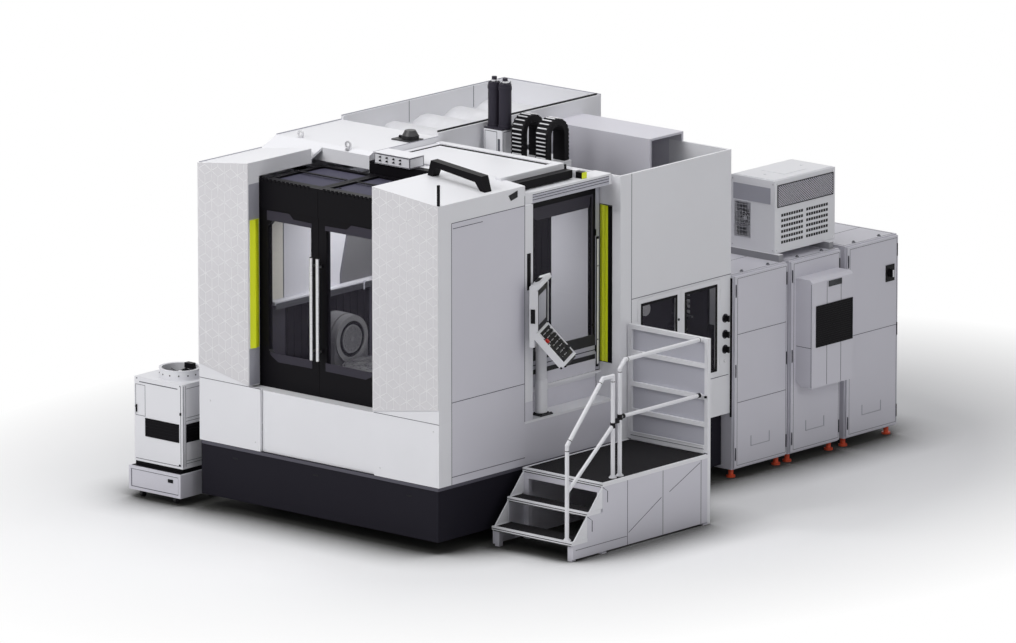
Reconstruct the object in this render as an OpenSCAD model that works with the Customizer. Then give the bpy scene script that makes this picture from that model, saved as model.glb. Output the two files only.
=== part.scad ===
// Horizontal machining centre with its operator platform, control cabinets and filter cart.
// Modelled in millimetres with +Z up. Inside the modules X = 0 is the operator side of the
// casing, Y = 0 its front and Z = 0 the floor. The finished part is moved so that its origin
// is the middle of its footprint.

/* [Casing] */
// Width of the machine across its front
machine_w = 2880; // [2800:10:3100]
// Depth of the machine from front to rear wall
machine_d = 3950; // [3850:10:4200]
// Height of the plinth's lower edge above the floor
foot_h = 120; // [80:5:160]
// Height of the black plinth
plinth_h = 500; // [450:10:560]
// Height of the lower front panels
lower_panel_h = 580; // [540:10:620]
// Height of the pillars at their outer edges
casing_h = 3180; // [3100:10:3300]
// Thickness of the folded casing panels
sheet = 25; // [18:1:30]
// Width of the left front pillar
left_pillar_w = 610; // [580:10:640]
// Width of the right front pillar
right_pillar_w = 780; // [760:10:830]
// Rise of a pillar's top from its outer to its inner edge
pillar_rise = 75; // [40:5:100]
// Rise of a pillar face's lower edge from its inner to its outer edge
face_slope = 130; // [80:5:180]
// Depth of the left pillar
left_pillar_d = 855; // [800:5:900]
// Depth of the right column casing up to the side door's post
column_casing_d = 1174; // [1120:2:1200]
// Width of the rear left housing
housing_w = 1180; // [1150:10:1200]
// Number of humps on the way covers
cover_humps = 5; // [3:1:8]
// Height of one way cover hump
cover_hump_h = 90; // [50:5:120]

/* [Front doors] */
// Distance of the door leaves behind the front
door_y = 170; // [150:5:190]
// Thickness of a door leaf
door_t = 55; // [45:1:65]
// Distance of the doors' joint from the doorway's middle, to the left
split_shift = 45; // [15:5:75]
// Depth of the roof wing on each leaf
wing_d = 800; // [740:5:805]
// Thickness of a roof wing
wing_t = 50; // [40:1:60]
// Thickness of the safety glass
glass_t = 12; // [8:1:16]
// Length of a bar handle
handle_l = 940; // [700:10:1100]
// Radius of a bar handle
handle_r = 17; // [12:1:22]

/* [Side door] */
// Depth of the side door recess from the operator side
recess_d = 210; // [200:2:230]
// Height of the ledge under the side door
ledge_z = 1020; // [960:5:1080]
// Height of the side door's sill
side_sill_z = 1260; // [1220:5:1300]
// Thickness of the side door
side_door_t = 40; // [30:1:44]
// Width of the white post beside the side door
post_w = 109; // [90:1:120]

/* [Tool magazine] */
// Depth of the tool magazine's housing in front of the rear wall
magazine_d = 1555; // [1545:5:1570]
// Distance that the housing stands out from the operator side
magazine_out = 80; // [60:2:90]
// Height of the magazine housing's top
magazine_top = 3080; // [3060:5:3140]
// Outer radius of the tool wheel at its pots
wheel_pot_r = 470; // [420:5:500]
// Number of tool pots
pot_count = 24; // [12:1:30]
// Radius of a tool pot
pot_r = 38; // [28:1:44]

/* [Column and spindle] */
// Distance of the column's middle from the housing's wall
column_in = 160; // [140:5:180]
// Width of the column
column_w = 600; // [560:10:640]
// Height of the spindle axis above the floor
spindle_z = 2050; // [1980:10:2120]
// Radius of the spindle shaft
spindle_r = 75; // [60:1:85]
// Radius of the tool socket in the spindle nose
socket_r = 24; // [16:1:30]
// Spacing of the counterbalance cylinders
cylinder_pitch = 130; // [124:2:160]
// Radius of a counterbalance cylinder
cylinder_r = 58; // [45:1:60]
// Number of ribs on the apron
rib_count = 26; // [12:2:30]

/* [Table] */
// Clearance between the table's saddle and the left liner wall
saddle_clear = 140; // [130:2:150]
// Distance of the tilt axis behind the front
tilt_y = 950; // [935:5:965]
// Height of the tilt axis
tilt_z = 1540; // [1530:5:1580]
// Radius of the rotary table
table_r = 410; // [360:5:420]
// Radius of the table's locating bore
table_bore_r = 25; // [15:1:30]
// Radius of the trunnion shafts
trunnion_r = 80; // [60:1:100]
// Number of T slots
slot_count = 5; // [3:2:7]

/* [Pendant] */
// Width of the control console
console_w = 470; // [400:5:475]
// Angle of the console towards the rear
console_angle = 29; // [26:1:34]
// Height of the console's top edge
console_top = 2270; // [2200:5:2330]

/* [Cabinets] */
// Width of the first cabinet
cabinet_1_w = 765; // [700:5:800]
// Width of the second cabinet
cabinet_2_w = 722; // [680:2:800]
// Width of the third cabinet
cabinet_3_w = 755; // [700:5:820]
// Gap between the first two cabinets
cabinet_gap_1 = 43; // [30:1:60]
// Gap between the last two cabinets
cabinet_gap_2 = 90; // [60:1:120]
// Depth of the cabinets
cabinet_d = 800; // [700:10:900]
// Height of the cabinets' tops
cabinet_top = 1906; // [1800:2:2000]
// Height of the cabinets' feet
cabinet_foot_h = 83; // [60:1:110]
// Distance of the cabinets' front from the operator side of the casing
cabinet_out = 100; // [90:2:120]

/* [Chiller] */
// Width of the chiller along Y
chiller_w = 870; // [800:5:890]
// Depth of the chiller along X
chiller_d = 520; // [480:5:560]
// Height of the chiller's case
chiller_h = 680; // [600:5:740]
// Radius of the chiller's fan
chiller_fan_r = 75; // [60:1:85]

/* [Platform] */
// Distance of the platform from the operator side
platform_x = 100; // [96:2:120]
// Width of the platform
platform_w = 940; // [880:10:1000]
// Height of the deck
deck_z = 643; // [600:1:680]
// Front of the lowest step
step_y = 610; // [580:5:640]
// Depth of a step
step_d = 210; // [200:5:230]
// Distance of the deck's rear end behind the magazine's front
deck_lap = 85; // [45:5:105]
// Height of the guard rail's top
guard_top = 1710; // [1650:5:1800]
// Radius of the handrail tube
rail_r = 19; // [15:1:24]

/* [Filter cart] */
// Gap between the cart and the machine
cart_gap = 110; // [90:5:150]
// Width of the cart's base
cart_w = 635; // [600:5:680]
// Depth of the cart's base
cart_d = 640; // [580:10:720]
// Distance that the cart stands in front of the machine
cart_out = 135; // [100:5:180]
// Height of the cart's casters
caster_h = 70; // [60:1:90]
// Height of the cart's tower top
cart_top = 1115; // [1050:5:1180]
// Radius of the cart's fan ring
ring_r = 190; // [170:5:200]

/* [Hidden] */
$fn = 48;
gap = 0.3;          // running gap between a moving piece and its seat
bore_gap = 0.05;    // radial clearance of a shaft in its bore
seat_gap = 0.1;     // clearance below a piece that stands on a slope
cut = 1;            // how far a cut runs past a face

// Levels of the casing
panel_z = foot_h + plinth_h;
sill_z = panel_z + lower_panel_h;
wing_top = casing_h - 85;
wing_z = wing_top - wing_t;
roof_z = casing_h + 20;
roof_t = 60;
housing_top = casing_h + 90;
parapet_top = housing_top + 35;
trough_z = casing_h - 180;
liner_top = wing_z - 50;
liner_floor_z = sill_z - 300;

// Plan of the casing
magazine_y = machine_d - magazine_d;
column_x = machine_w - housing_w - column_in;
door_split = (machine_w - left_pillar_w + right_pillar_w) / 2 + split_shift;
skirt_inset = 15;
skirt_t = 20;
face_relief = 8;
centre_recess = 30;
left_panel_w = left_pillar_w + 130;
right_panel_w = right_pillar_w - 10;
left_inner_x = left_pillar_w - machine_w;
right_inner_x = -right_pillar_w;
return_d = door_y - 20;
corner_d = 180;
top_seam_z = casing_h - 180;
housing_x = housing_w - machine_w;
housing_y = 1000;
housing_flat_d = 940;
slope_end_y = housing_y + 60;
housing_end = machine_d + 260;
beam_d = 90;
hatch_end = magazine_y - 425;
hatch_edge = 90;
roof_gap = right_inner_x - housing_x;
junction_box_x = [for (share = [0.109, 0.565]) housing_x + share * roof_gap];
recess_x = -recess_d;
liner_left_x = left_inner_x + 10;
liner_right_x = recess_x - 50;
liner_t = 20;
liner_y = door_y + door_t + 25;
opening_x = [-column_x - 200, liner_right_x - 480];
opening_z = [sill_z + 50, liner_top - 145];
pit_wall_y = magazine_y + 1080;
pit_end_x = -490;

// Front doors
door_z = sill_z - 15;
door_overlap = 40;
split_gap = 2;
left_leaf_x = [left_inner_x - door_overlap, -door_split - split_gap];
right_leaf_x = [-door_split + split_gap, right_inner_x + door_overlap];
window_z = [door_z + 285, wing_z - 315];
window_edge = 90;
window_chamfer = 60;
lintel_z = wing_z - 215;
lintel_t = 10;
wing_y = [door_y, door_y + wing_d];
wing_edge = 45;
handle_z = door_z + 345;
handle_stand = 60;
handle_edge = 36;
left_wing_x = [left_inner_x + 40, left_leaf_x[1]];
right_wing_x = [right_leaf_x[0], right_inner_x + 20];
left_glass_x = [left_inner_x + window_edge, left_leaf_x[1] - window_edge];
right_glass_x = [right_leaf_x[0] + window_edge, right_inner_x - window_edge];

// Side door
side_door_x = [recess_x + 5, recess_x + 5 + side_door_t];
side_y = [column_casing_d, magazine_y];
side_door_y = [column_casing_d + 126, magazine_y - 7];
side_head_z = wing_z - 50;
side_door_z = [side_sill_z + 2, side_head_z - 5];
side_frame_w = 110;
grip_t = 15;

// Tool magazine
magazine_x = magazine_out - sheet;
magazine_in = 640;
door_zone_z = [panel_z + 380, panel_z + 1280];
front_door_y = [magazine_y + 245, magazine_y + 840];
rear_door_y = [front_door_y[1] + 20, machine_d - 150];
pane_edge = 55;
door_gap = 2;
panel_door_t = 23;
hinge_r = 6;
hinge_l = 110;
panel_hinges = [door_zone_z[0] + 90, door_zone_z[1] - 90 - hinge_l];
wheel_y = magazine_y + 835;
wheel_z = door_zone_z[0] + 650;
wheel_x = -420;
wheel_t = 40;
wheel_shaft_r = 60;
wheel_hub_r = 110;
wheel_post_x = [-620, -560];
pot_l = 160;
knob_r = 30;
knob_l = 40;
knob_y = machine_d - 80;
knob_z = [wheel_z - 130, wheel_z - 280, wheel_z - 420];

// Bed, column and spindle
slab_z = panel_z - 60;
bed_z = liner_floor_z;
bed_half_w = 600;
bed_y = [300, magazine_y - 95];
table_rail_w = 60;
table_rail_h = 50;
table_rail_x = 400;
rear_bed_x = [left_inner_x - 30, -magazine_in];
rear_bed_y = [magazine_y + 105, magazine_y + 905];
rear_bed_z = bed_z + 100;
column_rail_h = 60;
column_rail_y = [magazine_y + 205, magazine_y + 655];
column_rail_w = 70;
column_z = rear_bed_z + column_rail_h + gap;
column_y = [magazine_y + 125, magazine_y + 765];
column_top = trough_z - 40;
column_base_w = column_w + 200;
column_base_h = 100;
head_rail_w = 50;
head_rail_d = 50;
head_rail_x = 130;
head_w = 380;
head_h = 420;
head_y = [magazine_y - 145, column_y[0] - head_rail_d - gap];
apron_y = [magazine_y + 35, magazine_y + 55];
apron_half_w = 900;
apron_z = [bed_z + 250, trough_z - 80];
rib_d = 6;
slot_clear = 5;
batten_w = 40;
top_box_w = 220;
top_box_d = 190;
top_box_y = column_y[0] - 10;
top_box_z = casing_h + 90;
cylinder_y = top_box_y + 95;
cylinder_h = 410;
cylinder_rod_r = 24;
cylinder_rod_h = 60;
nose_y = [head_y[0] - 160, head_y[0] - 100, head_y[0] - 20 - gap];
nose_r = [70, 100];
shaft_end = head_y[1] - 60;
socket_l = 90;
shelf_x = 640 - column_x;
shelf_d = 340;
shelf_h = 60;
chain_w = 140;
chain_x = [190 - column_x, 480 - column_x];
chain_r = 120;
chain_t = 56;
chain_leg = 250;
chain_bend = 3.1416 * chain_r;
chain_l = 2 * chain_leg + chain_bend;
chain_links = 24;
chain_rib = 6;

// Table
saddle_half_w = 660;
table_x = -liner_left_x - liner_t - saddle_clear - saddle_half_w;
saddle_y = 450;
saddle_z = bed_z + table_rail_h + gap;
saddle_t = 80;
arm_x = [440, 500];
support_x = [510, saddle_half_w];
support_r = 225;
cradle_floor = [tilt_z - 340, tilt_z - 270];
cradle_d = 300;
disc_r = 130;
table_top = tilt_z - 180;
spigot_r = 100;
t_slot_w = 22;
t_slot_d = 36;

// Pendant
pivot = [-80, column_casing_d + 316];
pivot_local = [-5, 190];
pendant_post_w = 110;
pendant_post_t = 80;
pendant_post_z = 1690;
console_back = [-25, 40];
key_top = pendant_post_z + 170;
hood_d = 40;
key_run = 260;
key_drop = 280;
key_t = 55;
key_angle = atan2(key_drop, key_run);
stop_r = 20;
stop_h = 26;
stop_stem_r = 12;
stop_place = [console_back[1] + 0.3 * key_run, -console_w / 2 + 50, key_top - 0.3 * key_drop];

// Cabinets
cabinet_w = [cabinet_1_w, cabinet_2_w, cabinet_3_w];
cabinet_y1 = machine_d;
cabinet_y2 = cabinet_y1 + cabinet_1_w + cabinet_gap_1;
cabinet_y3 = cabinet_y2 + cabinet_2_w + cabinet_gap_2;
cabinet_y = [cabinet_y1, cabinet_y2, cabinet_y3];
cabinet_wall = 20;
cabinet_x = [cabinet_out - cabinet_d, cabinet_out];
cabinet_edge = 8;
cabinet_door_t = 25;
cabinet_hinges = [0.08, 0.46, 0.84];
cabinet_door_x = [cabinet_out + gap, cabinet_out + cabinet_door_t];
cabinet_door_z = [cabinet_foot_h + 17, cabinet_top - 11];
cooler_out = 195;
cooler_y = [cabinet_y2 + 72, cabinet_y2 + 662];
cooler_z = [720, 1740];
isolator_y = cabinet_y3 + cabinet_3_w - 125;
isolator_z = cabinet_top - 350;
isolator_r = 38;

// Chiller
chiller_y = [cabinet_y2 + cabinet_2_w / 2 - 449, cabinet_y2 + cabinet_2_w / 2 - 449 + chiller_w];
chiller_x = [-chiller_d, 0];
channel_h = 64;
chiller_z = cabinet_top + channel_h;
chiller_wall = 15;
fan_mid = [-chiller_d + 140, chiller_z + 0.41 * chiller_h];
fan_window = [chiller_fan_r + 10, 0.23 * chiller_h];
fan_bar_y = chiller_y[0] + 90;

// Platform
deck_end = magazine_y + deck_lap;
platform_end_x = platform_x + platform_w;
deck_y = step_y + 2 * step_d;
tread_t = 30;
rise = (deck_z - 180) / 2;
step_z = [180, 180 + rise, deck_z];
stringer_t = 18;
leg_w = 50;
pad_t = 20;
rail_x = platform_end_x - 80;
guard_w = 40;
stair_post_y = step_y + 24;
stair_low_z = step_z[0] + 870;
stair_high_z = deck_z + 930;
loop_y = [deck_y + 90, deck_y + 230];
deck_rail_y = loop_y[1] + 95;
deck_rail_z = guard_top - 15;
mid_rail_z = deck_z + 540;

// Filter cart
cart_x = [-machine_w - cart_gap - cart_w, -machine_w - cart_gap];
cart_y = [-cart_out, -cart_out + cart_d];
cart_base_z = [caster_h, caster_h + 220];
tower_x = [cart_x[0] + 25, cart_x[1] - 20];
tower_y = [cart_y[0] + 55, cart_y[1] - 60];
tower_z = cart_base_z[1] + 40;
tower_wall = 15;
drawer_edge = 26;
drawer_inset = 6;
ring_h = 90;
ring_t = 22;
ring_mid = [(tower_x[0] + tower_x[1]) / 2 + 40, tower_y[0] + 250];
cart_fan_z = cart_top + 14;

// Middle of the footprint, which becomes the origin
low = [cart_x[0], min(cart_y[0], 0)];
high = [platform_end_x, cabinet_y3 + cabinet_3_w];
origin = [(low[0] + high[0]) / 2, (low[1] + high[1]) / 2, 0];

white = "#dedde3";
shade = "#c3c1cb";
grey = "#8d8c96";
dark = "#1d1b22";
lime = "#c8d62b";
steel = "#cfd0d4";
iron = "#6e7178";
amber = "#d0452a";

// Moves a piece from casing coordinates to the part's own frame
module placed() {
    translate(-origin) children();
}

// Box between two limits on each axis
module block(x, y, z) {
    translate([x[0], y[0], z[0]]) cube([x[1] - x[0], y[1] - y[0], z[1] - z[0]]);
}

// Outline in X and Z, carried along Y
module prism_y(points, y) {
    translate([0, y[1], 0]) rotate([90, 0, 0]) linear_extrude(y[1] - y[0]) polygon(points);
}

// Outline in Y and Z, carried along X
module prism_x(points, x) {
    translate([x[0], 0, 0]) rotate([90, 0, 90]) linear_extrude(x[1] - x[0]) polygon(points);
}

// Round bar along one axis, from a point
module bar_x(p, l, r) {
    translate(p) rotate([0, 90, 0]) cylinder(h = l, r = r);
}

module bar_y(p, l, r) {
    translate(p) rotate([-90, 0, 0]) cylinder(h = l, r = r);
}

module bar_z(p, l, r) {
    translate(p) cylinder(h = l, r = r);
}

// Round bar from one point to another
module rod(p, q, r) {
    d = q - p;
    l = norm(d);
    translate(p) rotate([0, acos(d[2] / l), atan2(d[1], d[0])]) cylinder(h = l, r = r);
}

// Bent tube through points, with ball corners
module bent_tube(points, r) {
    for (i = [0 : len(points) - 2]) rod(points[i], points[i + 1], r);
    for (i = [1 : len(points) - 2]) translate(points[i]) sphere(r = r * 1.08);
}

function chamfered(x, z, c, low_side) = low_side
    ? [[x[0] + c, z[0]], [x[1], z[0]], [x[1], z[1]], [x[0] + c, z[1]], [x[0], z[1] - c], [x[0], z[0] + c]]
    : [[x[0], z[0]], [x[1] - c, z[0]], [x[1], z[0] + c], [x[1], z[1] - c], [x[1] - c, z[1]], [x[0], z[1]]];

module levelling_feet() color(steel) placed() {
    margin = 500;
    for (x = [margin - machine_w, -machine_w / 2, -margin], y = [margin, machine_d / 2, machine_d - margin]) {
        bar_z([x, y, 0], 35, 90);
        bar_z([x, y, 0], foot_h, 45);
    }
}

module plinth() color(dark) placed() {
    x = [skirt_inset - machine_w, -skirt_inset];
    y = [skirt_inset, machine_d - skirt_inset];
    difference() {
        block(x, y, [foot_h, panel_z]);
        block([x[0] + skirt_t, x[1] - skirt_t], [y[0] + skirt_t, y[1] - skirt_t],
            [foot_h - cut, panel_z + cut]);
    }
}

module machine_bed() color(iron) placed() {
    side = skirt_inset + skirt_t;
    block([side - machine_w, -side], [side, machine_d - side], [foot_h, slab_z]);
    block([-table_x - bed_half_w, -table_x + bed_half_w], bed_y, [slab_z, bed_z]);
    block(rear_bed_x, rear_bed_y, [slab_z, rear_bed_z]);
    for (s = [-1, 1])
        block([-table_x + s * table_rail_x - table_rail_w / 2, -table_x + s * table_rail_x + table_rail_w / 2],
            bed_y, [bed_z, bed_z + table_rail_h]);
    for (y = column_rail_y)
        block(rear_bed_x, [y, y + column_rail_w], [rear_bed_z, rear_bed_z + column_rail_h]);
}

module lower_panels() color(white) placed() {
    y = [face_relief, face_relief + sheet];
    centre_y = face_relief + centre_recess;
    // left panel
    block([-machine_w, left_panel_w - machine_w], y, [panel_z, sill_z]);
    // right panel with its return along the side
    block([-right_panel_w, 0], y, [panel_z, sill_z]);
    block([-sheet, 0], [y[1], corner_d], [panel_z, sill_z]);
    // centre panel with the flange that carries the doors' track
    block([left_panel_w - machine_w, -right_panel_w], [centre_y, centre_y + sheet], [panel_z, door_z - gap]);
    block([left_leaf_x[0] - 60, right_leaf_x[1] + 60], [centre_y + sheet, liner_y - 5],
        [door_z - sheet - gap, door_z - gap]);
}

// Hollow pillar casing, open at its foot and rear
module pillar(outer_x, inner_x, depth) {
    s = sign(inner_x - outer_x) * sheet;
    inner_z = casing_h + pillar_rise;
    difference() {
        union() {
            prism_y([[outer_x, sill_z + face_slope], [inner_x, sill_z + face_relief],
                [inner_x, inner_z], [outer_x, casing_h]], [0, face_relief]);
            prism_y([[outer_x, sill_z], [inner_x, sill_z], [inner_x, inner_z], [outer_x, casing_h]],
                [face_relief, depth]);
        }
        prism_y([[outer_x + s, sill_z - cut], [inner_x - s, sill_z - cut],
            [inner_x - s, inner_z - sheet], [outer_x + s, casing_h - sheet]], [sheet + face_relief, depth + cut]);
        prism_y([[inner_x - 2 * s, sill_z - cut], [inner_x + s, sill_z - cut],
            [inner_x + s, wing_top + 25], [inner_x - 2 * s, wing_top + 25]], [return_d, depth + cut]);
    }
}

module left_pillar() color(white) placed() pillar(-machine_w, left_inner_x, left_pillar_d);

module right_pillar() color(white) placed() difference() {
    pillar(0, right_inner_x, column_casing_d);
    block([-sheet - cut, cut], [corner_d, column_casing_d + cut], [sill_z - cut, top_seam_z]);
}

module side_panel() color(shade) placed()
    block([-sheet, 0], [corner_d, column_casing_d], [panel_z, top_seam_z]);

// Lime strips, two facets each
module light_strips() color(lime) placed() {
    strip_z = [sill_z + 350, sill_z + 1530];
    strip_t = 24;
    translate([0, 0, strip_z[0]]) linear_extrude(strip_z[1] - strip_z[0])
        polygon([[left_inner_x, face_relief + 15], [left_inner_x + strip_t, return_d / 2],
            [left_inner_x, return_d - 4]]);
    translate([0, 0, side_sill_z + 90]) linear_extrude(side_head_z - side_sill_z - 295)
        polygon([[-160, magazine_y], [-125, magazine_y - strip_t / 2], [-92, magazine_y]]);
}

// Side wall and rear housing on the left, with the trough for the way covers
module left_casing() color(white) placed() {
    x = [-machine_w, sheet - machine_w];
    inner = [housing_x - sheet, housing_x];
    y = [face_relief + sheet, machine_d];
    flat_end = housing_y + housing_flat_d;
    front = [housing_y, housing_y + sheet];
    rear = [housing_end - sheet, housing_end];
    front_z = [for (v = front) casing_h + (housing_top - casing_h) * (v - left_pillar_d) / (slope_end_y - left_pillar_d)];
    under = housing_top - sheet;
    slope_under = front_z[1] - sheet;
    block(x, y, [panel_z, sill_z]);
    // side wall, which rises from the pillar to the housing and again to its parapet
    prism_x([[left_pillar_d, sill_z], [y[1], sill_z], [y[1], trough_z], [rear[1], trough_z],
        [rear[1], parapet_top], [flat_end, parapet_top], [flat_end, housing_top], [slope_end_y, housing_top],
        [left_pillar_d, casing_h]], x);
    prism_x([[left_pillar_d, casing_h - sheet], [front[0], front_z[0] - sheet], [front[0], front_z[0]],
        [left_pillar_d, casing_h]], [x[1], left_inner_x]);
    // front, sloped edge and flat top of the housing
    prism_x([[front[0], wing_top + 25], [front[1], wing_top + 25], [front[1], slope_under],
        [slope_end_y, under], [flat_end, under], [flat_end, housing_top], [slope_end_y, housing_top],
        [front[0], front_z[0]]], [x[1], housing_x]);
    prism_x([[front[1], trough_z], [flat_end, trough_z], [flat_end, under], [slope_end_y, under],
        [front[1], slope_under]], inner);
    // trough with its parapets, and the rear wall below it
    block(inner, [flat_end, rear[1]], [trough_z, parapet_top]);
    block([x[1], inner[0]], [flat_end - sheet, flat_end], [trough_z, under]);
    block([x[1], inner[0]], [flat_end, rear[1]], [trough_z, trough_z + 20]);
    block([x[1], inner[0]], rear, [trough_z + 20, parapet_top]);
    block([x[1], inner[0]], [y[1] - sheet, y[1]], [panel_z, trough_z]);
}

// Humped covers over the ways, one outline carried across the trough
module way_covers() color(white) placed() {
    y0 = housing_y + housing_flat_d;
    y1 = housing_end - sheet;
    pitch = (y1 - y0) / cover_humps;
    steps = 8;
    top = [for (k = [0 : cover_humps * steps])
        [y0 + k * pitch / steps, trough_z + 60 + cover_hump_h * abs(sin(180 * k / steps))]];
    prism_x(concat([[y0, trough_z + 20]], top, [[y1, trough_z + 20]]),
        [sheet - machine_w, housing_x - sheet]);
}

// Rear wall and the wall behind the column's pit
module rear_casing() color(shade) placed() {
    x = [housing_x - sheet, -magazine_in];
    y = [machine_d - sheet, machine_d];
    top = casing_h - 10;
    block(x, y, [panel_z, trough_z]);
    block([housing_x, x[1]], y, [trough_z, top]);
    block([x[1], pit_end_x], y, [magazine_top, top]);
    block([housing_x, pit_end_x], [pit_wall_y, pit_wall_y + sheet], [panel_z + 1380, top]);
    block([housing_x, pit_end_x], [pit_wall_y + sheet, y[0]], [top - 20, top]);
}

// Black cross beam that carries the rear edge of the roof wings
module roof_beam() color(dark) placed() {
    y = [housing_y, housing_y + beam_d];
    block([housing_x, right_inner_x], y, [wing_z - 30, roof_z]);
    block([right_inner_x, -sheet], y, [wing_z - 30, wing_top + 25]);
    block([sheet - machine_w, -sheet], [wing_y[1] - 40, housing_y], [wing_z - 30, wing_z - gap]);
}

module roof_hatch() color(white) placed() {
    x = [housing_x, recess_x - 15];
    y = [housing_y + beam_d, hatch_end];
    slot = 14;
    cover_x = [x[0] + 70, x[1] - 20];
    difference() {
        block(x, y, [roof_z - roof_t, roof_z]);
        block([right_inner_x, x[1] + cut], [y[0] - cut, column_casing_d], [roof_z - roof_t - cut, roof_z + cut]);
        block([cover_x[0], cover_x[1]], [y[0] + hatch_edge, y[1] - hatch_edge], [roof_z - 18, roof_z + cut]);
    }
    block([cover_x[0] + slot, cover_x[1] - slot], [y[0] + hatch_edge + slot, y[1] - hatch_edge - slot],
        [roof_z - 18, roof_z + 12]);
}

// Junction box on the beam and drive unit on the housing's flat top
module roof_fittings() color(white) placed() {
    block(junction_box_x, [housing_y - 40, housing_y + beam_d + 60], [roof_z, roof_z + 85]);
    drive = [housing_x - 90, housing_y + housing_flat_d - 280, housing_top];
    block([drive[0] - 150, drive[0] + 80], [drive[1] - 90, drive[1] + 90], [housing_top, housing_top + 12]);
    bar_z(drive, 50, 75);
    translate([drive[0], drive[1], drive[2] + 50]) cylinder(h = 45, r1 = 75, r2 = 50);
}

// Black arched arm and antenna on the right column's sloped top
module energy_arm() color(dark) placed() {
    x = [right_inner_x + 40, -60];
    z = [for (v = x) casing_h + seat_gap - pillar_rise * v / right_pillar_w];
    mast_x = [-26, -6];
    mast_z = [for (v = mast_x) casing_h + seat_gap - pillar_rise * v / right_pillar_w];
    t = 60;
    h = 140;
    prism_y([[x[0], z[0]], [x[0] + t, z[0] - t * pillar_rise / right_pillar_w],
        [x[0] + t + 40, z[0] + h - t], [x[1] - t - 60, z[1] + h - t],
        [x[1] - t, z[1] + t * pillar_rise / right_pillar_w], [x[1], z[1]],
        [x[1] - 40, z[1] + h], [x[0] + 40, z[0] + h]], [700, 790]);
    prism_y([[mast_x[0], mast_z[0]], [mast_x[1], mast_z[1]], [mast_x[1], casing_h + 190],
        [mast_x[0], casing_h + 190]], [14, 34]);
}

// Post, header, sill and ledge around the side door
module side_frame() color(white) placed() {
    groove = 10;
    block([-sheet, 0], side_y, [panel_z, ledge_z - 20]);
    block([recess_x, 0], side_y, [ledge_z - 20, ledge_z]);
    block([recess_x - 15, recess_x], side_y, [ledge_z - 20, side_sill_z - 20]);
    block([recess_x - 15, -150], side_y, [side_sill_z - 20, side_sill_z + 2 - gap]);
    block([-110, 0], [side_y[0], side_y[0] + post_w], [ledge_z, side_head_z]);
    difference() {
        block([recess_x - 15, -30], side_y, [side_head_z, wing_top]);
        for (k = [1 : 3])
            block([-30 - groove, -30 + cut], [side_y[0] + post_w + 30, side_y[1] - 30],
                [side_head_z + k * 24, side_head_z + k * 24 + 8]);
    }
}

// Work area walls, floor and rear wall with the opening for the spindle head
module interior_liner() color(grey) placed() {
    x = [liner_left_x, liner_right_x];
    y = [liner_y, magazine_y];
    block([x[0], x[0] + liner_t], y, [liner_floor_z, liner_top]);
    block([x[1] - liner_t, x[1]], [y[0], column_casing_d + 100], [liner_floor_z, liner_top]);
    block([x[1] - liner_t, x[1]], [column_casing_d + 100, y[1]], [liner_floor_z, side_sill_z]);
    block([x[0], -table_x - bed_half_w], y, [liner_floor_z - 20, liner_floor_z]);
    block([-table_x + bed_half_w, x[1]], y, [liner_floor_z - 20, liner_floor_z]);
    block([x[0] + liner_t, x[1] - liner_t], [hatch_end - 10, y[1]], [liner_top - 20, liner_top]);
    // ledge along the left wall
    block([x[0] + liner_t, x[0] + 90], [y[0], y[1]], [sill_z + 720, sill_z + 750]);
    difference() {
        block([x[0], x[1]], [y[1], y[1] + 23], [liner_floor_z - 20, liner_top]);
        block(opening_x, [y[1] - cut, y[1] + 23 + cut], opening_z);
    }
}

module magazine_housing() color(shade) placed() {
    z = [panel_z, magazine_top];
    front = [magazine_y, magazine_y + 23];
    y = [magazine_y, machine_d];
    wheel_mid = [wheel_post_x[1], wheel_y, wheel_z];
    difference() {
        block([magazine_x, magazine_out], y, z);
        for (d = [front_door_y, rear_door_y])
            block([magazine_x - cut, magazine_out + cut], d, door_zone_z);
        for (v = [front_door_y[0] + door_gap, rear_door_y[1] - door_gap], h = panel_hinges)
            bar_z([magazine_out, v, h - gap], hinge_l + 2 * gap, hinge_r + gap);
    }
    block([recess_x + 5, magazine_x], front, z);
    block([-magazine_in, recess_x + 5], front, [liner_top + 5, z[1]]);
    block([-magazine_in, magazine_x], [y[1] - sheet, y[1]], z);
    block([recess_x + 5, magazine_x], [front[1], y[1] - sheet], [z[0], z[0] + 20]);
    block(wheel_post_x, [wheel_y - 100, wheel_y + 100], [slab_z, wheel_z + 100]);
    bar_x(wheel_mid, wheel_x + wheel_t + 60 - wheel_post_x[1], wheel_shaft_r);
}

// Tool wheel with a ring of pots
module magazine_wheel() color(iron) placed() difference() {
    union() {
        bar_x([wheel_x, wheel_y, wheel_z], wheel_t, wheel_pot_r + 10);
        bar_x([wheel_x - 20, wheel_y, wheel_z], wheel_t + 40, wheel_hub_r);
        for (k = [0 : pot_count - 1]) {
            a = 360 * k / pot_count;
            bar_x([wheel_x, wheel_y + wheel_pot_r * cos(a), wheel_z + wheel_pot_r * sin(a)], pot_l, pot_r);
        }
    }
    bar_x([wheel_x - 20 - cut, wheel_y, wheel_z], wheel_t + 40 + 2 * cut, wheel_shaft_r + bore_gap);
}

// Panel with a window and two hinge barrels on the edge at hinge_y
module panel_door(y, hinge_y) {
    z = [door_zone_z[0] + gap, door_zone_z[1] - door_gap];
    difference() {
        block([magazine_out - panel_door_t, magazine_out], [y[0] + door_gap, y[1] - door_gap], z);
        block([magazine_out - panel_door_t - cut, magazine_out + cut], [y[0] + pane_edge, y[1] - pane_edge],
            [z[0] + pane_edge, z[1] - pane_edge]);
    }
    for (h = panel_hinges) bar_z([magazine_out, hinge_y, h], hinge_l, hinge_r);
}

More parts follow.
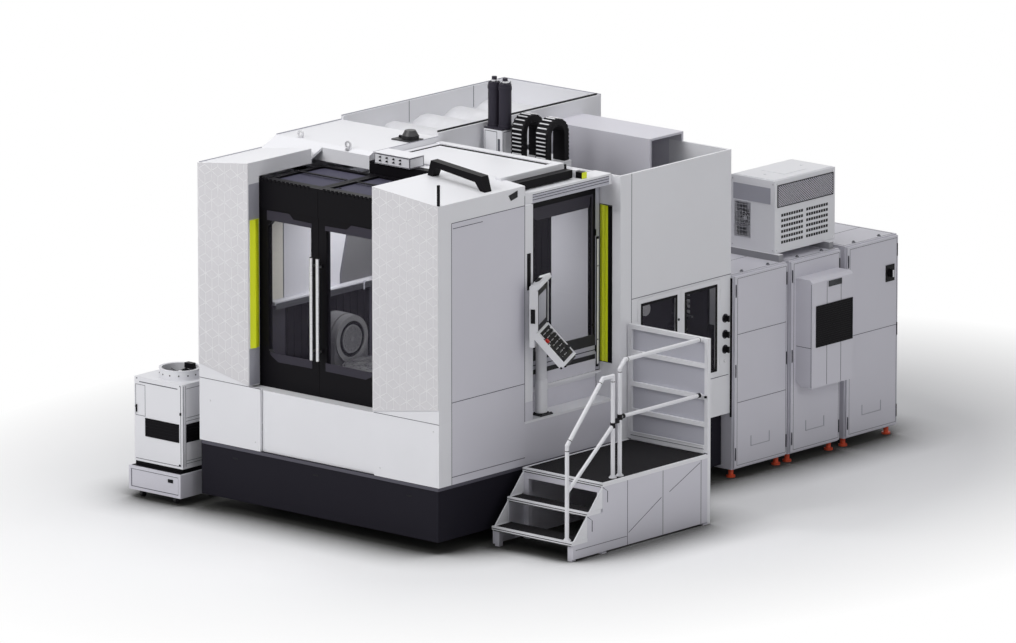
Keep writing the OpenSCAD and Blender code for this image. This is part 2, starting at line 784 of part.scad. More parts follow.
module panel_pane(y) {
    x = magazine_out - panel_door_t / 2;
    block([x - glass_t / 2, x + glass_t / 2], [y[0] + pane_edge, y[1] - pane_edge],
        [door_zone_z[0] + gap + pane_edge, door_zone_z[1] - door_gap - pane_edge]);
}

module magazine_door_front() color(white) placed()
    panel_door(front_door_y, front_door_y[0] + door_gap);
module magazine_door_rear() color(white) placed()
    panel_door(rear_door_y, rear_door_y[1] - door_gap);
module magazine_pane_front() color(dark) placed() panel_pane(front_door_y);
module magazine_pane_rear() color(dark) placed() panel_pane(rear_door_y);

// Rotary knob with a pointer ridge
module knob(z) {
    bar_x([magazine_out + gap, knob_y, z], knob_l * 0.4, knob_r);
    bar_x([magazine_out + gap, knob_y, z], knob_l * 0.6, knob_r * 0.75);
    block([magazine_out + gap, magazine_out + knob_l], [knob_y - 7, knob_y + 7],
        [z - knob_r * 0.9, z + knob_r * 0.9]);
}

module knob_upper() color(dark) placed() knob(knob_z[0]);
module knob_middle() color(dark) placed() knob(knob_z[1]);
module knob_lower() color(dark) placed() knob(knob_z[2]);

// Sliding leaf with its roof wing; the chamfered window side faces the pillar
module leaf(x, wing_x, glass_x, low_side) {
    difference() {
        union() {
            block(x, [door_y, door_y + door_t], [door_z, wing_top]);
            block(wing_x, wing_y, [wing_z, wing_top]);
            block(x, [door_y - lintel_t, door_y], [lintel_z, wing_top]);
        }
        prism_y(chamfered(glass_x, window_z, window_chamfer, low_side), [door_y - cut, door_y + door_t + cut]);
        block([wing_x[0] + wing_edge, wing_x[1] - wing_edge],
            [wing_y[0] + door_t + wing_edge, wing_y[1] - wing_edge], [wing_z - cut, wing_top + cut]);
    }
}

// Window pane and roof pane of a leaf
module leaf_glass(wing_x, glass_x, low_side) {
    y = door_y + door_t / 2;
    z = wing_z + wing_t / 2;
    prism_y(chamfered(glass_x, window_z, window_chamfer, low_side), [y - glass_t / 2, y + glass_t / 2]);
    block([wing_x[0] + wing_edge, wing_x[1] - wing_edge],
        [wing_y[0] + door_t + wing_edge, wing_y[1] - wing_edge], [z - glass_t / 2, z + glass_t / 2]);
}

// Upright bar handle on two stand-offs
module bar_handle(x) {
    stand_r = handle_r * 0.6;
    bar_z([x, door_y - handle_stand, handle_z], handle_l, handle_r);
    for (z = [handle_z + 80, handle_z + handle_l - 80])
        bar_y([x, door_y - handle_stand, z], handle_stand, stand_r);
}

module left_door() color(dark) placed() leaf(left_leaf_x, left_wing_x, left_glass_x, true);
module left_door_glass() color(grey) placed() leaf_glass(left_wing_x, left_glass_x, true);
module left_door_handle() color(steel) placed() bar_handle(left_leaf_x[1] - handle_edge);
module right_door() color(dark) placed() leaf(right_leaf_x, right_wing_x, right_glass_x, false);
module right_door_glass() color(grey) placed() leaf_glass(right_wing_x, right_glass_x, false);
module right_door_handle() color(steel) placed() bar_handle(right_leaf_x[0] + handle_edge);

// Side door leaf with its upright grip
module side_door() color(dark) placed() {
    grip_y = [side_door_y[1] - 50, side_door_y[1] - 25];
    difference() {
        block(side_door_x, side_door_y, side_door_z);
        block([side_door_x[0] - cut, side_door_x[1] + cut],
            [side_door_y[0] + side_frame_w, side_door_y[1] - side_frame_w],
            [side_door_z[0] + side_frame_w, side_door_z[1] - side_frame_w]);
    }
    block([side_door_x[1], side_door_x[1] + grip_t], grip_y, [side_door_z[0] + 40, side_door_z[0] + 1240]);
}

module side_door_glass() color(grey) placed() {
    x = (side_door_x[0] + side_door_x[1]) / 2;
    block([x - glass_t / 2, x + glass_t / 2],
        [side_door_y[0] + side_frame_w, side_door_y[1] - side_frame_w],
        [side_door_z[0] + side_frame_w, side_door_z[1] - side_frame_w]);
}

// Travelling column: base, body, head rails, apron battens, top box and chain shelf
module column() color(white) placed() {
    x = [-column_x - column_w / 2, -column_x + column_w / 2];
    base_x = [-column_x - column_base_w / 2, -column_x + column_base_w / 2];
    block(base_x, [column_y[0] + 20, column_y[1] - 40], [column_z, column_z + column_base_h]);
    block(x, column_y, [column_z + column_base_h, column_top]);
    for (s = [-1, 1]) {
        rail = -column_x + s * head_rail_x;
        edge = -column_x + s * (column_w - batten_w) / 2;
        block([rail - head_rail_w / 2, rail + head_rail_w / 2], [column_y[0] - head_rail_d, column_y[0]],
            [column_z + column_base_h + 40, column_top - 60]);
        block([edge - batten_w / 2, edge + batten_w / 2], [apron_y[1], column_y[0]],
            [apron_z[0] + 100, apron_z[1] - 50]);
    }
    block([-column_x - top_box_w / 2, -column_x + top_box_w / 2], [top_box_y, top_box_y + top_box_d],
        [column_top, top_box_z]);
    block([-column_x + top_box_w / 2, shelf_x], [column_y[0], column_y[0] + shelf_d],
        [column_top, column_top + shelf_h]);
}

// Twin cylinders that balance the head's weight
module counterbalance() color(dark) placed() {
    block([-column_x - top_box_w / 2, -column_x + top_box_w / 2], [top_box_y, top_box_y + top_box_d],
        [top_box_z, top_box_z + 14]);
    for (s = [-1, 1]) {
        mid = [-column_x + s * cylinder_pitch / 2, cylinder_y, top_box_z];
        bar_z(mid, cylinder_h, cylinder_r);
        bar_z(mid, cylinder_h + cylinder_rod_h, cylinder_rod_r);
    }
}

// Place on the chain's arch and the way out from it, by the distance s along it
function chain_at(s) = s < chain_leg ? [[-chain_r, s], [-1, 0]]
    : s > chain_leg + chain_bend ? [[chain_r, chain_l - s], [1, 0]]
    : let (a = 180 - 180 * (s - chain_leg) / chain_bend)
        [[chain_r * cos(a), chain_leg + chain_r * sin(a)], [cos(a), sin(a)]];

function chain_edge(s, d) = chain_at(s)[0] + d * chain_at(s)[1];

// Two arched runs of cable chain standing on the shelf, stepped at each link
module cable_chain() color(dark) placed() {
    link_l = chain_l / chain_links;
    half = chain_t / 2;
    links = [for (k = [0 : chain_links - 1], v = [[0.2, 0], [0.2, chain_rib], [0.8, chain_rib], [0.8, 0]])
        chain_edge((k + v[0]) * link_l, half + v[1])];
    inner = [for (k = [chain_links : -1 : 0]) chain_edge(k * link_l, -half)];
    for (x = chain_x)
        translate([0, column_y[0] + chain_r + chain_t, column_top + shelf_h])
            prism_x(concat([chain_edge(0, half)], links, [chain_edge(chain_l, half)], inner), [x, x + chain_w]);
}

// Ribbed apron that closes the rear wall's opening
module apron() color(dark) placed() {
    x = [-column_x - apron_half_w, -column_x + apron_half_w];
    slot = head_w / 2 + slot_clear;
    pitch = 2 * apron_half_w / rib_count;
    difference() {
        union() {
            block(x, apron_y, apron_z);
            for (k = [0 : rib_count - 1])
                block([x[0] + k * pitch, x[0] + (k + 0.5) * pitch], [apron_y[0] - rib_d, apron_y[0]], apron_z);
        }
        block([-column_x - slot, -column_x + slot], [apron_y[0] - rib_d - cut, apron_y[1] + cut],
            [opening_z[0] + 80, opening_z[1] - 40]);
    }
}

module spindle_head() color(white) placed() difference() {
    union() {
        block([-column_x - head_w / 2, -column_x + head_w / 2], head_y,
            [spindle_z - head_h / 2, spindle_z + head_h / 2]);
        bar_y([-column_x, head_y[0] - 20, spindle_z], 20, spindle_r + 65);
    }
    bar_y([-column_x, head_y[0] - 20 - cut, spindle_z], shaft_end + 10 - head_y[0] + 20 + cut,
        spindle_r + bore_gap);
}

// Spindle with its stepped nose and tool socket
module spindle() color(steel) placed() difference() {
    union() {
        bar_y([-column_x, nose_y[0], spindle_z], nose_y[1] - nose_y[0], nose_r[0]);
        bar_y([-column_x, nose_y[1], spindle_z], nose_y[2] - nose_y[1], nose_r[1]);
        bar_y([-column_x, nose_y[2], spindle_z], shaft_end - nose_y[2], spindle_r);
    }
    bar_y([-column_x, nose_y[0] - cut, spindle_z], socket_l + cut, socket_r);
}

// Saddle with two arched trunnion supports
module table_saddle() color(grey) placed() {
    base_top = saddle_z + saddle_t;
    block([-table_x - saddle_half_w, -table_x + saddle_half_w], [tilt_y - saddle_y, tilt_y + saddle_y],
        [saddle_z, base_top]);
    for (s = [-1, 1]) {
        x = s > 0 ? -table_x + support_x[0] : -table_x - support_x[1];
        w = support_x[1] - support_x[0];
        difference() {
            union() {
                block([x, x + w], [tilt_y - support_r, tilt_y + support_r], [base_top, tilt_z]);
                bar_x([x, tilt_y, tilt_z], w, support_r);
            }
            bar_x([x - cut, tilt_y, tilt_z], w + 2 * cut, trunnion_r + bore_gap);
        }
    }
}

// Cradle: floor, two round-headed arms, trunnion shafts and inner discs
module cradle() color(iron) placed() difference() {
    union() {
        block([-table_x - arm_x[1], -table_x + arm_x[1]], [tilt_y - cradle_d, tilt_y + cradle_d], cradle_floor);
        for (s = [-1, 1]) {
            x = s > 0 ? -table_x + arm_x[0] : -table_x - arm_x[1];
            w = arm_x[1] - arm_x[0];
            block([x, x + w], [tilt_y - support_r, tilt_y + support_r], [cradle_floor[1], tilt_z]);
            bar_x([x, tilt_y, tilt_z], w, support_r - 5);
            bar_x([s > 0 ? x - 10 : x + w, tilt_y, tilt_z], 10, disc_r);
            bar_x([s > 0 ? x + w : x - support_x[1] + arm_x[1] + 20, tilt_y, tilt_z],
                support_x[1] - arm_x[1] - 20, trunnion_r);
        }
    }
    bar_z([-table_x, tilt_y, cradle_floor[0] + 8], cradle_floor[1] - cradle_floor[0], spigot_r + bore_gap);
}

// Rotary table with T slots and a locating bore
module rotary_table() color(steel) placed() difference() {
    z = cradle_floor[1] + gap;
    mid = [-table_x, tilt_y, 0];
    pitch = 2 * (table_r - 70) / slot_count;
    union() {
        bar_z([mid[0], mid[1], z], table_top - z, table_r);
        bar_z([mid[0], mid[1], cradle_floor[0] + 12], z - cradle_floor[0], spigot_r);
    }
    bar_z([mid[0], mid[1], table_top - 60], 60 + cut, table_bore_r);
    for (k = [0 : slot_count - 1]) {
        y = mid[1] + (k - (slot_count - 1) / 2) * pitch;
        for (s = [-1, 1])
            block(s > 0 ? [mid[0] + 60, mid[0] + table_r + cut] : [mid[0] - table_r - cut, mid[0] - 60],
                [y - t_slot_w / 2, y + t_slot_w / 2], [table_top - t_slot_d, table_top + cut]);
    }
}

// Oblong pendant post with a base plate
module pendant_post() color(white) placed() {
    half = (pendant_post_w - pendant_post_t) / 2;
    z = [ledge_z, pendant_post_z];
    for (s = [-1, 1]) bar_z([pivot[0], pivot[1] + s * half, z[0]], z[1] - z[0], pendant_post_t / 2);
    block([pivot[0] - pendant_post_t / 2, pivot[0] + pendant_post_t / 2], [pivot[1] - half, pivot[1] + half], z);
    block([pivot[0] - 62, pivot[0] + 72], [pivot[1] - 80, pivot[1] + 80], [ledge_z, ledge_z + 14]);
}

// Console in its own frame: X towards the operator, Y across from its middle, Z up
module on_pivot() {
    translate([pivot[0], pivot[1], 0]) rotate([0, 0, console_angle])
        translate([-pivot_local[0], -pivot_local[1], 0]) children();
}

module pendant_console() color(white) placed() on_pivot() difference() {
    front = console_back[1];
    back = console_back[0];
    end = [front + key_run, key_top - key_drop];
    drop = [key_t * sin(key_angle), key_t * cos(key_angle)];
    union() {
        prism_y([[back, pendant_post_z + 40], [front - 20, pendant_post_z + 40],
            [front - 20, key_top - drop[1] - 18], [end[0] - drop[0], end[1] - drop[1]], end, [front, key_top],
            [front, console_top - 20], [front + hood_d, console_top + 12], [front + hood_d - 15, console_top + 47],
            [back, console_top + 15]], [-console_w / 2, console_w / 2]);
        bar_z([pivot_local[0], pivot_local[1], pendant_post_z + gap], 60, pendant_post_t / 2 - 8);
    }
    translate(stop_place) rotate([0, key_angle, 0]) bar_z([0, 0, -18], 18 + cut, stop_stem_r + bore_gap);
}

// Mushroom button on the key panel
module emergency_stop() color(amber) placed() on_pivot() translate(stop_place) rotate([0, key_angle, 0]) {
    bar_z([0, 0, -12], 20, stop_stem_r);
    bar_z([0, 0, 6], stop_h - 6, stop_r);
}

// Hollow cabinet with a mounting plate, rows of gear and feet
module cabinet(y, w) {
    z = [cabinet_foot_h, cabinet_top];
    inner_y = [y + cabinet_wall, y + w - cabinet_wall];
    plate_x = cabinet_x[0] + cabinet_wall + 40;
    difference() {
        block(cabinet_x, [y, y + w], z);
        block([cabinet_x[0] + cabinet_wall, cabinet_x[1] + cut], inner_y,
            [z[0] + cabinet_wall, z[1] - cabinet_wall]);
    }
    block([cabinet_x[0] + cabinet_wall, plate_x], [inner_y[0] + 40, inner_y[1] - 40], [z[0] + 120, z[1] - 120]);
    for (row = [0 : 2], k = [0 : 3])
        block([plate_x, plate_x + 110 + 30 * row],
            [inner_y[0] + 70 + k * (w - 200) / 4, inner_y[0] + 55 + (k + 0.85) * (w - 200) / 4],
            [z[0] + 260 + row * 480, z[0] + 560 + row * 480]);
    for (x = [cabinet_x[0] + 60, cabinet_x[1] - 60], v = [y + 60, y + w - 60]) {
        bar_z([x, v, 0], 18, 42);
        bar_z([x, v, 0], cabinet_foot_h, 24);
    }
}

module cabinet_bodies() color(shade) placed() {
    for (k = [0 : 2]) cabinet(cabinet_y[k], cabinet_w[k]);
    for (k = [0 : 1])
        block([-400, -200], [cabinet_y[k] + cabinet_w[k], cabinet_y[k + 1] - gap],
            [cabinet_top - 60, cabinet_top - 40]);
}

// Door with three hinge barrels on its left edge
module cabinet_door(k) {
    hinge_y = cabinet_y[k] + cabinet_edge;
    block(cabinet_door_x, [hinge_y, cabinet_y[k] + cabinet_w[k] - cabinet_edge], cabinet_door_z);
    for (share = cabinet_hinges)
        bar_z([cabinet_door_x[1], hinge_y, cabinet_door_z[0] + share * (cabinet_door_z[1] - cabinet_door_z[0])],
            hinge_l, hinge_r);
}

module cabinet_door_1() color(shade) placed() cabinet_door(0);

// Middle door with the cooling unit bolted to it
module cabinet_door_2() color(shade) placed() {
    x = [cabinet_door_x[1], cabinet_door_x[1] + cooler_out];
    cabinet_door(1);
    prism_y([[x[0], cooler_z[0] + 60], [x[0] + 60, cooler_z[0]], [x[1], cooler_z[0]], [x[1], cooler_z[1] - 30],
        [x[1] - 30, cooler_z[1]], [x[0], cooler_z[1]]], cooler_y);
}

module cabinet_door_3() color(shade) placed() cabinet_door(2);

module isolator_handle() color(dark) placed() {
    x = cabinet_door_x[1] + gap;
    bar_x([x, isolator_y, isolator_z], 18, isolator_r);
    block([x, x + 44], [isolator_y - 11, isolator_y + 11], [isolator_z - 34, isolator_z + 34]);
}

// Hollow chiller case on two channel rails, with the fan's window and motor bar
module chiller_case() color(white) placed() {
    z = [chiller_z, chiller_z + chiller_h];
    w = chiller_wall;
    difference() {
        block(chiller_x, chiller_y, z);
        block([chiller_x[0] + w, chiller_x[1] - w], [chiller_y[0] + w, chiller_y[1] - w], [z[0] + w, z[1] - w]);
        block([fan_mid[0] - fan_window[0], fan_mid[0] + fan_window[0]], [chiller_y[0] - cut, chiller_y[0] + w + cut],
            [fan_mid[1] - fan_window[1], fan_mid[1] + fan_window[1]]);
    }
    block([fan_mid[0] - 30, fan_mid[0] + 30], [fan_bar_y, fan_bar_y + 40], [z[0] + w, z[1] - w]);
    bar_y([fan_mid[0], fan_bar_y - 60, fan_mid[1]], 60, 20);
    for (y = [chiller_y[0] - 10, cabinet_y2 + cabinet_2_w - 90])
        block([chiller_x[0] - 40, chiller_x[1] + 60], [y, y + 60], [cabinet_top, chiller_z]);
}

// Bladed fan about the Z axis, with a bore for its motor shaft
module fan(r, hub_r, hub_h, shaft_r, blades) difference() {
    union() {
        cylinder(h = hub_h, r = hub_r);
        for (k = [0 : blades - 1])
            rotate([0, 0, 360 * k / blades]) translate([hub_r - 6, 0, hub_h / 2]) rotate([30, 0, 0])
                translate([0, -hub_r * 0.7, -2.5]) cube([r - hub_r, hub_r * 1.4, 5]);
    }
    translate([0, 0, -cut]) cylinder(h = hub_h + 2 * cut, r = shaft_r + bore_gap);
}

module chiller_fan() color(dark) placed() translate([fan_mid[0], fan_bar_y - 10, fan_mid[1]])
    rotate([90, 0, 0]) fan(chiller_fan_r, 30, 40, 20, 6);

// Platform legs, beams, stringers and stepped skirt
module platform_frame() color(white) placed() {
    x = [platform_x, platform_end_x];
    under = deck_z - tread_t;
    skirt = [[step_y + 12, pad_t], [deck_end, pad_t], [deck_end, under], [deck_y, under],
        [deck_y, step_z[1] - tread_t], [step_y + step_d, step_z[1] - tread_t],
        [step_y + step_d, step_z[0] - tread_t], [step_y + 12, step_z[0] - tread_t]];
    prism_x(skirt, [x[1] - stringer_t, x[1]]);
    prism_x(skirt, [x[0], x[0] + stringer_t]);
    for (u = [x[0] + stringer_t, x[1] - stringer_t - leg_w], v = [deck_y, deck_end - leg_w]) {
        block([u, u + leg_w], [v, v + leg_w], [0, under]);
        block([u, u + leg_w + 20], [v - 10, v + leg_w], [0, pad_t - 8]);
    }
    for (u = [x[0] + stringer_t, x[1] - stringer_t - leg_w])
        block([u, u + leg_w], [step_y + 20, step_y + 20 + leg_w], [0, step_z[0] - tread_t]);
    for (v = [deck_y, (deck_y + deck_end - leg_w) / 2, deck_end - leg_w])
        block([x[0] + stringer_t + leg_w, x[1] - stringer_t - leg_w], [v, v + leg_w], [under - 60, under]);
}

module platform_treads() color(dark) placed() {
    x = [platform_x, platform_end_x];
    nosing = 30;
    block(x, [step_y, step_y + step_d], [step_z[0] - tread_t, step_z[0]]);
    block([x[0] + stringer_t, x[1] - stringer_t], [step_y + step_d, step_y + step_d + nosing],
        [step_z[0] - tread_t, step_z[0]]);
    block(x, [step_y + step_d, deck_y + nosing - 60], [step_z[1] - tread_t, step_z[1]]);
    block(x, [deck_y, deck_end], [deck_z - tread_t, deck_z]);
}

// Tube rails beside the steps and the deck
module handrails() color(white) placed() {
    x = rail_x;
    rear_y = deck_end + guard_w / 2;
    bent_tube([[x, stair_post_y, step_z[0]], [x, stair_post_y, stair_low_z], [x, loop_y[0], stair_high_z],
        [x, loop_y[1], stair_high_z], [x, loop_y[1], deck_z]], rail_r);
    rod([x, stair_post_y, stair_low_z - 430], [x, loop_y[1], mid_rail_z - 60], rail_r * 0.9);
    bent_tube([[x, deck_rail_y, deck_z], [x, deck_rail_y, deck_rail_z - 70], [x, deck_rail_y + 70, deck_rail_z],
        [x, deck_end, deck_rail_z]], rail_r);
    rod([x, deck_rail_y, mid_rail_z], [x, deck_end, mid_rail_z], rail_r * 0.9);
}

// Guard across the deck's rear end: two posts, rails and a sheet
module guard_panel() color(white) placed() {
    x = [platform_x, platform_end_x];
    y = [deck_end, deck_end + guard_w];
    for (u = [x[0], x[1] - guard_w]) block([u, u + guard_w], y, [0, guard_top]);
    for (z = [deck_z + 250, deck_z + 500, deck_z + 790, guard_top - guard_w])
        block([x[0] + guard_w, x[1] - guard_w], [y[0], y[1] - 12], [z, z + guard_w]);
    block([x[0] + guard_w, x[1] - guard_w], [y[1] - 12, y[1]], [pad_t, guard_top]);
}

// Cart base on four casters
module cart_base() color(shade) placed() {
    difference() {
        block(cart_x, cart_y, cart_base_z);
        block([cart_x[0] + drawer_edge, cart_x[1] - drawer_edge], [cart_y[0] - cut, cart_y[0] + drawer_inset],
            [cart_base_z[0] + drawer_edge, cart_base_z[1] - drawer_edge]);
    }
    for (x = [cart_x[0] + 110, cart_x[1] - 110], y = [cart_y[0] + 70, cart_y[1] - 90]) {
        bar_x([x - 16, y, 32], 32, 32);
        bar_z([x, y, 40], caster_h - 40, 12);
        block([x - 40, x + 40], [y - 40, y + 40], [caster_h - 8, caster_h]);
    }
    block([tower_x[0] + 12, tower_x[1] - 12], [tower_y[0] + 12, tower_y[1] - 12], [cart_base_z[1], tower_z]);
}

// Hollow tower with its fan ring
module cart_tower() color(white) placed() {
    w = tower_wall;
    mid = [ring_mid[0], ring_mid[1]];
    difference() {
        union() {
            block(tower_x, tower_y, [tower_z, cart_top]);
            bar_z([mid[0], mid[1], cart_top], ring_h, ring_r);
        }
        block([tower_x[0] + w, tower_x[1] - w], [tower_y[0] + w, tower_y[1] - w], [tower_z + w, cart_top - w]);
        bar_z([mid[0], mid[1], cart_top - w - cut], ring_h + w + 2 * cut, ring_r - ring_t);
    }
    block([mid[0] - 25, mid[0] + 25], [tower_y[0] + w, tower_y[1] - w], [cart_top - 90, cart_top - 50]);
    bar_z([mid[0], mid[1], cart_top - 50], 50 + 14 + 40, 18);
}

module cart_fan() color(dark) placed() translate([ring_mid[0], ring_mid[1], cart_fan_z])
    fan(ring_r - ring_t - 4, 42, 36, 18, 7);

levelling_feet();
machine_bed();
plinth();
lower_panels();
left_pillar();
right_pillar();
light_strips();
left_casing();
rear_casing();
way_covers();
roof_beam();
roof_hatch();
roof_fittings();
energy_arm();
side_panel();
side_frame();
interior_liner();
magazine_housing();
pendant_post();
cabinet_bodies();
chiller_case();
platform_frame();
platform_treads();
handrails();
guard_panel();
cart_base();
cart_tower();
left_door();
left_door_glass();
left_door_handle();
right_door();
right_door_glass();
right_door_handle();
side_door();
side_door_glass();
magazine_door_front();
magazine_door_rear();
magazine_pane_front();
magazine_pane_rear();
knob_upper();
knob_middle();
knob_lower();
magazine_wheel();
column();
counterbalance();
cable_chain();
apron();
spindle_head();
spindle();
table_saddle();
cradle();
rotary_table();
pendant_console();
emergency_stop();
cabinet_door_1();
cabinet_door_2();
cabinet_door_3();
isolator_handle();
chiller_fan();
cart_fan();
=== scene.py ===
"""Looks for the machining centre: materials, fittings, stage, light and camera.

Places are in casing coordinates, in metres: X = 0 is the operator side of the casing, Y = 0 its
front and Z = 0 the floor, as in the part's source. at() turns them into the row frame.
"""

import math

import bmesh
import bpy
from mathutils import Matrix, Vector

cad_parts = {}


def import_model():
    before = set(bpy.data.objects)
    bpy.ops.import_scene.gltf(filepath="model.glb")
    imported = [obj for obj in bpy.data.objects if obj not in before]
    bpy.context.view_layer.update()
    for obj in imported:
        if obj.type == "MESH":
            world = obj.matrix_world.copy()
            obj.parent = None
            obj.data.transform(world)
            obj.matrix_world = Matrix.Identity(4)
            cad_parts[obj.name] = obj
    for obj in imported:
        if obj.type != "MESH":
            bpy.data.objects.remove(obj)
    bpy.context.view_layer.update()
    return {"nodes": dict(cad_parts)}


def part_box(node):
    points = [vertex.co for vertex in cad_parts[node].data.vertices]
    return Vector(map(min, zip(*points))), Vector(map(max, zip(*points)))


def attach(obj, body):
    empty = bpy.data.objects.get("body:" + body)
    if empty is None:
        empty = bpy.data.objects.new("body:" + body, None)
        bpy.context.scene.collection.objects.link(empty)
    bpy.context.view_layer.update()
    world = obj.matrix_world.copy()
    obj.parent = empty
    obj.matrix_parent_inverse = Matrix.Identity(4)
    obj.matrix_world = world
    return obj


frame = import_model()

CORNER = Vector((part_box("right_pillar")[1].x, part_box("right_pillar")[0].y, 0.0))


def at(x, y, z):
    """Casing coordinates to the row frame."""
    return CORNER + Vector((x, y, z))


def span(node):
    """Lowest and highest corner of a CAD node in casing coordinates."""
    low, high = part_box(node)
    return low - CORNER, high - CORNER


def extent(node, axis):
    """Limits of a CAD node on one axis, in casing coordinates."""
    low, high = span(node)
    return getattr(low, axis), getattr(high, axis)


def mid_of(node):
    """Middle of a CAD node's box in casing coordinates."""
    low, high = span(node)
    return (low + high) / 2


# Materials

WHITE = (0.80, 0.80, 0.83)
PATTERN_GREY = (0.66, 0.65, 0.67)
PATTERN_LINE = (0.86, 0.86, 0.87)
# SHADE is painted shade: a darker, bluer copy of WHITE standing in for the shade on faces turned from the key
# lamp.
SHADE = (0.66, 0.65, 0.71)
BLACK = (0.006, 0.0055, 0.007)
PLINTH_BLACK = (0.012, 0.011, 0.017)
CHARCOAL = (0.034, 0.031, 0.043)
SEAM = (0.10, 0.10, 0.12)
STRIP_GREY = (0.095, 0.092, 0.115)
LIME = (0.80, 0.88, 0.011)
LINER_GREY = (0.50, 0.50, 0.54)
STEEL = (0.66, 0.66, 0.68)
IRON = (0.17, 0.175, 0.19)
ORANGE = (0.80, 0.095, 0.03)
RED = (0.55, 0.02, 0.015)
GLASS_TINT = (0.06, 0.055, 0.075)
SCREEN_TINT = (0.015, 0.018, 0.024)
BEIGE = (0.52, 0.48, 0.38)
SCREEN_PALE = (0.60, 0.60, 0.66)
DUSK = (0.40, 0.40, 0.45)
MID = (0.52, 0.52, 0.58)
CREAM = (0.52, 0.505, 0.46)
CAST = (0.10, 0.10, 0.106)
CAST_PALE = (0.14, 0.14, 0.145)
ROOF_TINT = (0.060, 0.058, 0.088)
RUBBER = (0.02, 0.02, 0.022)
GRAIN = (0.030, 0.029, 0.031)
GRIME = (0.2, 0.2, 0.22)
CHILLER_GREY = (0.28, 0.28, 0.30)
LAMP_GLOW = (1.0, 0.98, 0.95)


class Nodes:
    """Adds nodes to a tree and feeds their inputs with values, colours or other nodes' outputs."""

    def __init__(self, tree):
        self.tree = tree

    def feed(self, target, value):
        if isinstance(value, bpy.types.NodeSocket):
            self.tree.links.new(value, target)
        else:
            target.default_value = (*value, 1.0) if target.type == "RGBA" else value

    def node(self, kind, inputs, output, **settings):
        """Output of a new node with its inputs fed."""
        made = self.tree.nodes.new("ShaderNode" + kind)
        for key, value in settings.items():
            setattr(made, key, value)
        for key, value in inputs.items():
            self.feed(made.inputs[key], value)
        return made.outputs[output]

    def math(self, operation, first, second):
        return self.node("Math", {0: first, 1: second}, "Value", operation=operation)


class Paint(Nodes):
    """Node tree of one procedural material, built step by step."""

    def __init__(self, name):
        self.material = bpy.data.materials.new(name)
        self.material.use_nodes = True
        super().__init__(self.material.node_tree)
        self.shader = self.tree.nodes["Principled BSDF"]
        self.place = self.node("TexCoord", {}, "Object")

    def scaled(self, stretch):
        return self.node("Mapping", {"Vector": self.place, "Scale": stretch}, "Vector")

    def noise(self, scale, detail=2.0, stretch=(1.0, 1.0, 1.0)):
        inputs = {"Vector": self.scaled(stretch), "Scale": scale, "Detail": detail}
        return self.node("TexNoise", inputs, "Fac")

    def remap(self, value, low, high, to_low=0.0, to_high=1.0):
        limits = {"From Min": low, "From Max": high, "To Min": to_low, "To Max": to_high}
        return self.node("MapRange", {"Value": value, **limits}, "Result")

    def between(self, share, low, high):
        """Level between two, for a share from 0 to 1."""
        return self.remap(share, 0.0, 1.0, low, high)

    def cloud(self, scale, detail=3.0, stretch=(1.0, 1.0, 1.0), reach=(0.3, 0.7), levels=(0.0, 1.0)):
        """Soft spots between two levels."""
        return self.remap(self.noise(scale, detail, stretch), *reach, *levels)

    def mix(self, factor, first, second):
        """Colour between two colours or outputs."""
        return self.node("Mix", {"Factor": factor, 6: first, 7: second}, 2, data_type="RGBA")

    def axis(self, name):
        return self.node("SeparateXYZ", {"Vector": self.place}, name)

    def above(self, axis, limit):
        """1 where the place on the axis lies above the limit, in the row frame."""
        return self.math("GREATER_THAN", self.axis(axis), limit)

    def dress(self, values):
        """Feeds inputs of the shader."""
        for key, value in values.items():
            self.feed(self.shader.inputs[key], value)

    def bump(self, height, distance, strength=0.3):
        inputs = {"Strength": strength, "Distance": distance, "Height": height}
        self.dress({"Normal": self.node("Bump", inputs, "Normal")})

    def finish(self, colour, rough, metallic=0.0, gloss=0.5):
        """Sets colour and roughness, each a value or an output, and the plain values."""
        self.dress({"Base Color": colour, "Roughness": rough})
        self.dress({"Metallic": metallic, "Specular IOR Level": gloss})
        return self.material


def tint(colour, factor):
    return tuple(channel * factor for channel in colour)


def powder_coat(name, colour, rough=0.42, gloss=0.5):
    """Sprayed sheet metal: cloudy colour, fine orange peel and a dusty foot."""
    paint = Paint(name)
    cloud = paint.cloud(1.3)
    base = paint.mix(cloud, tint(colour, 0.965), colour)
    dust = paint.remap(paint.axis("Z"), 0.0, 0.5, 0.35, 0.0)
    scuffed = paint.mix(dust, base, tint(colour, 0.82))
    paint.bump(paint.noise(900.0, 1.0), 0.0004, 0.12)
    return paint.finish(scuffed, paint.between(cloud, rough - 0.05, rough + 0.06), 0.0, gloss)


def two_tone(name, low_colour, high_colour, axis, limit, rough=0.45):
    """Coat that changes colour at a limit on one axis of the row frame."""
    paint = Paint(name)
    cloud = paint.cloud(1.6)
    colour = paint.mix(paint.above(axis, limit), low_colour, high_colour)
    shaded = paint.mix(paint.between(cloud, 0.08, 0.0), colour, GRIME)
    paint.bump(paint.noise(700.0, 1.0), 0.0004, 0.12)
    return paint.finish(shaded, paint.between(cloud, rough - 0.06, rough + 0.05))


def moulded(name, colour, rough=0.5, gloss=0.3):
    """Moulded plastic with a fine spark texture."""
    paint = Paint(name)
    cloud = paint.cloud(9.0)
    paint.bump(paint.noise(1500.0, 2.0), 0.0003, 0.25)
    return paint.finish(paint.mix(cloud, tint(colour, 0.9), tint(colour, 1.1)),
                        paint.between(cloud, rough - 0.06, rough + 0.08), 0.0, gloss)


def brushed(name, colour, stretch, rough=0.32):
    """Brushed or ground metal with streaks along one axis."""
    paint = Paint(name)
    streak = paint.cloud(60.0, 4.0, stretch)
    paint.bump(streak, 0.0004, 0.15)
    return paint.finish(paint.mix(streak, tint(colour, 0.86), tint(colour, 1.08)),
                        paint.between(streak, rough - 0.06, rough + 0.10), 1.0)


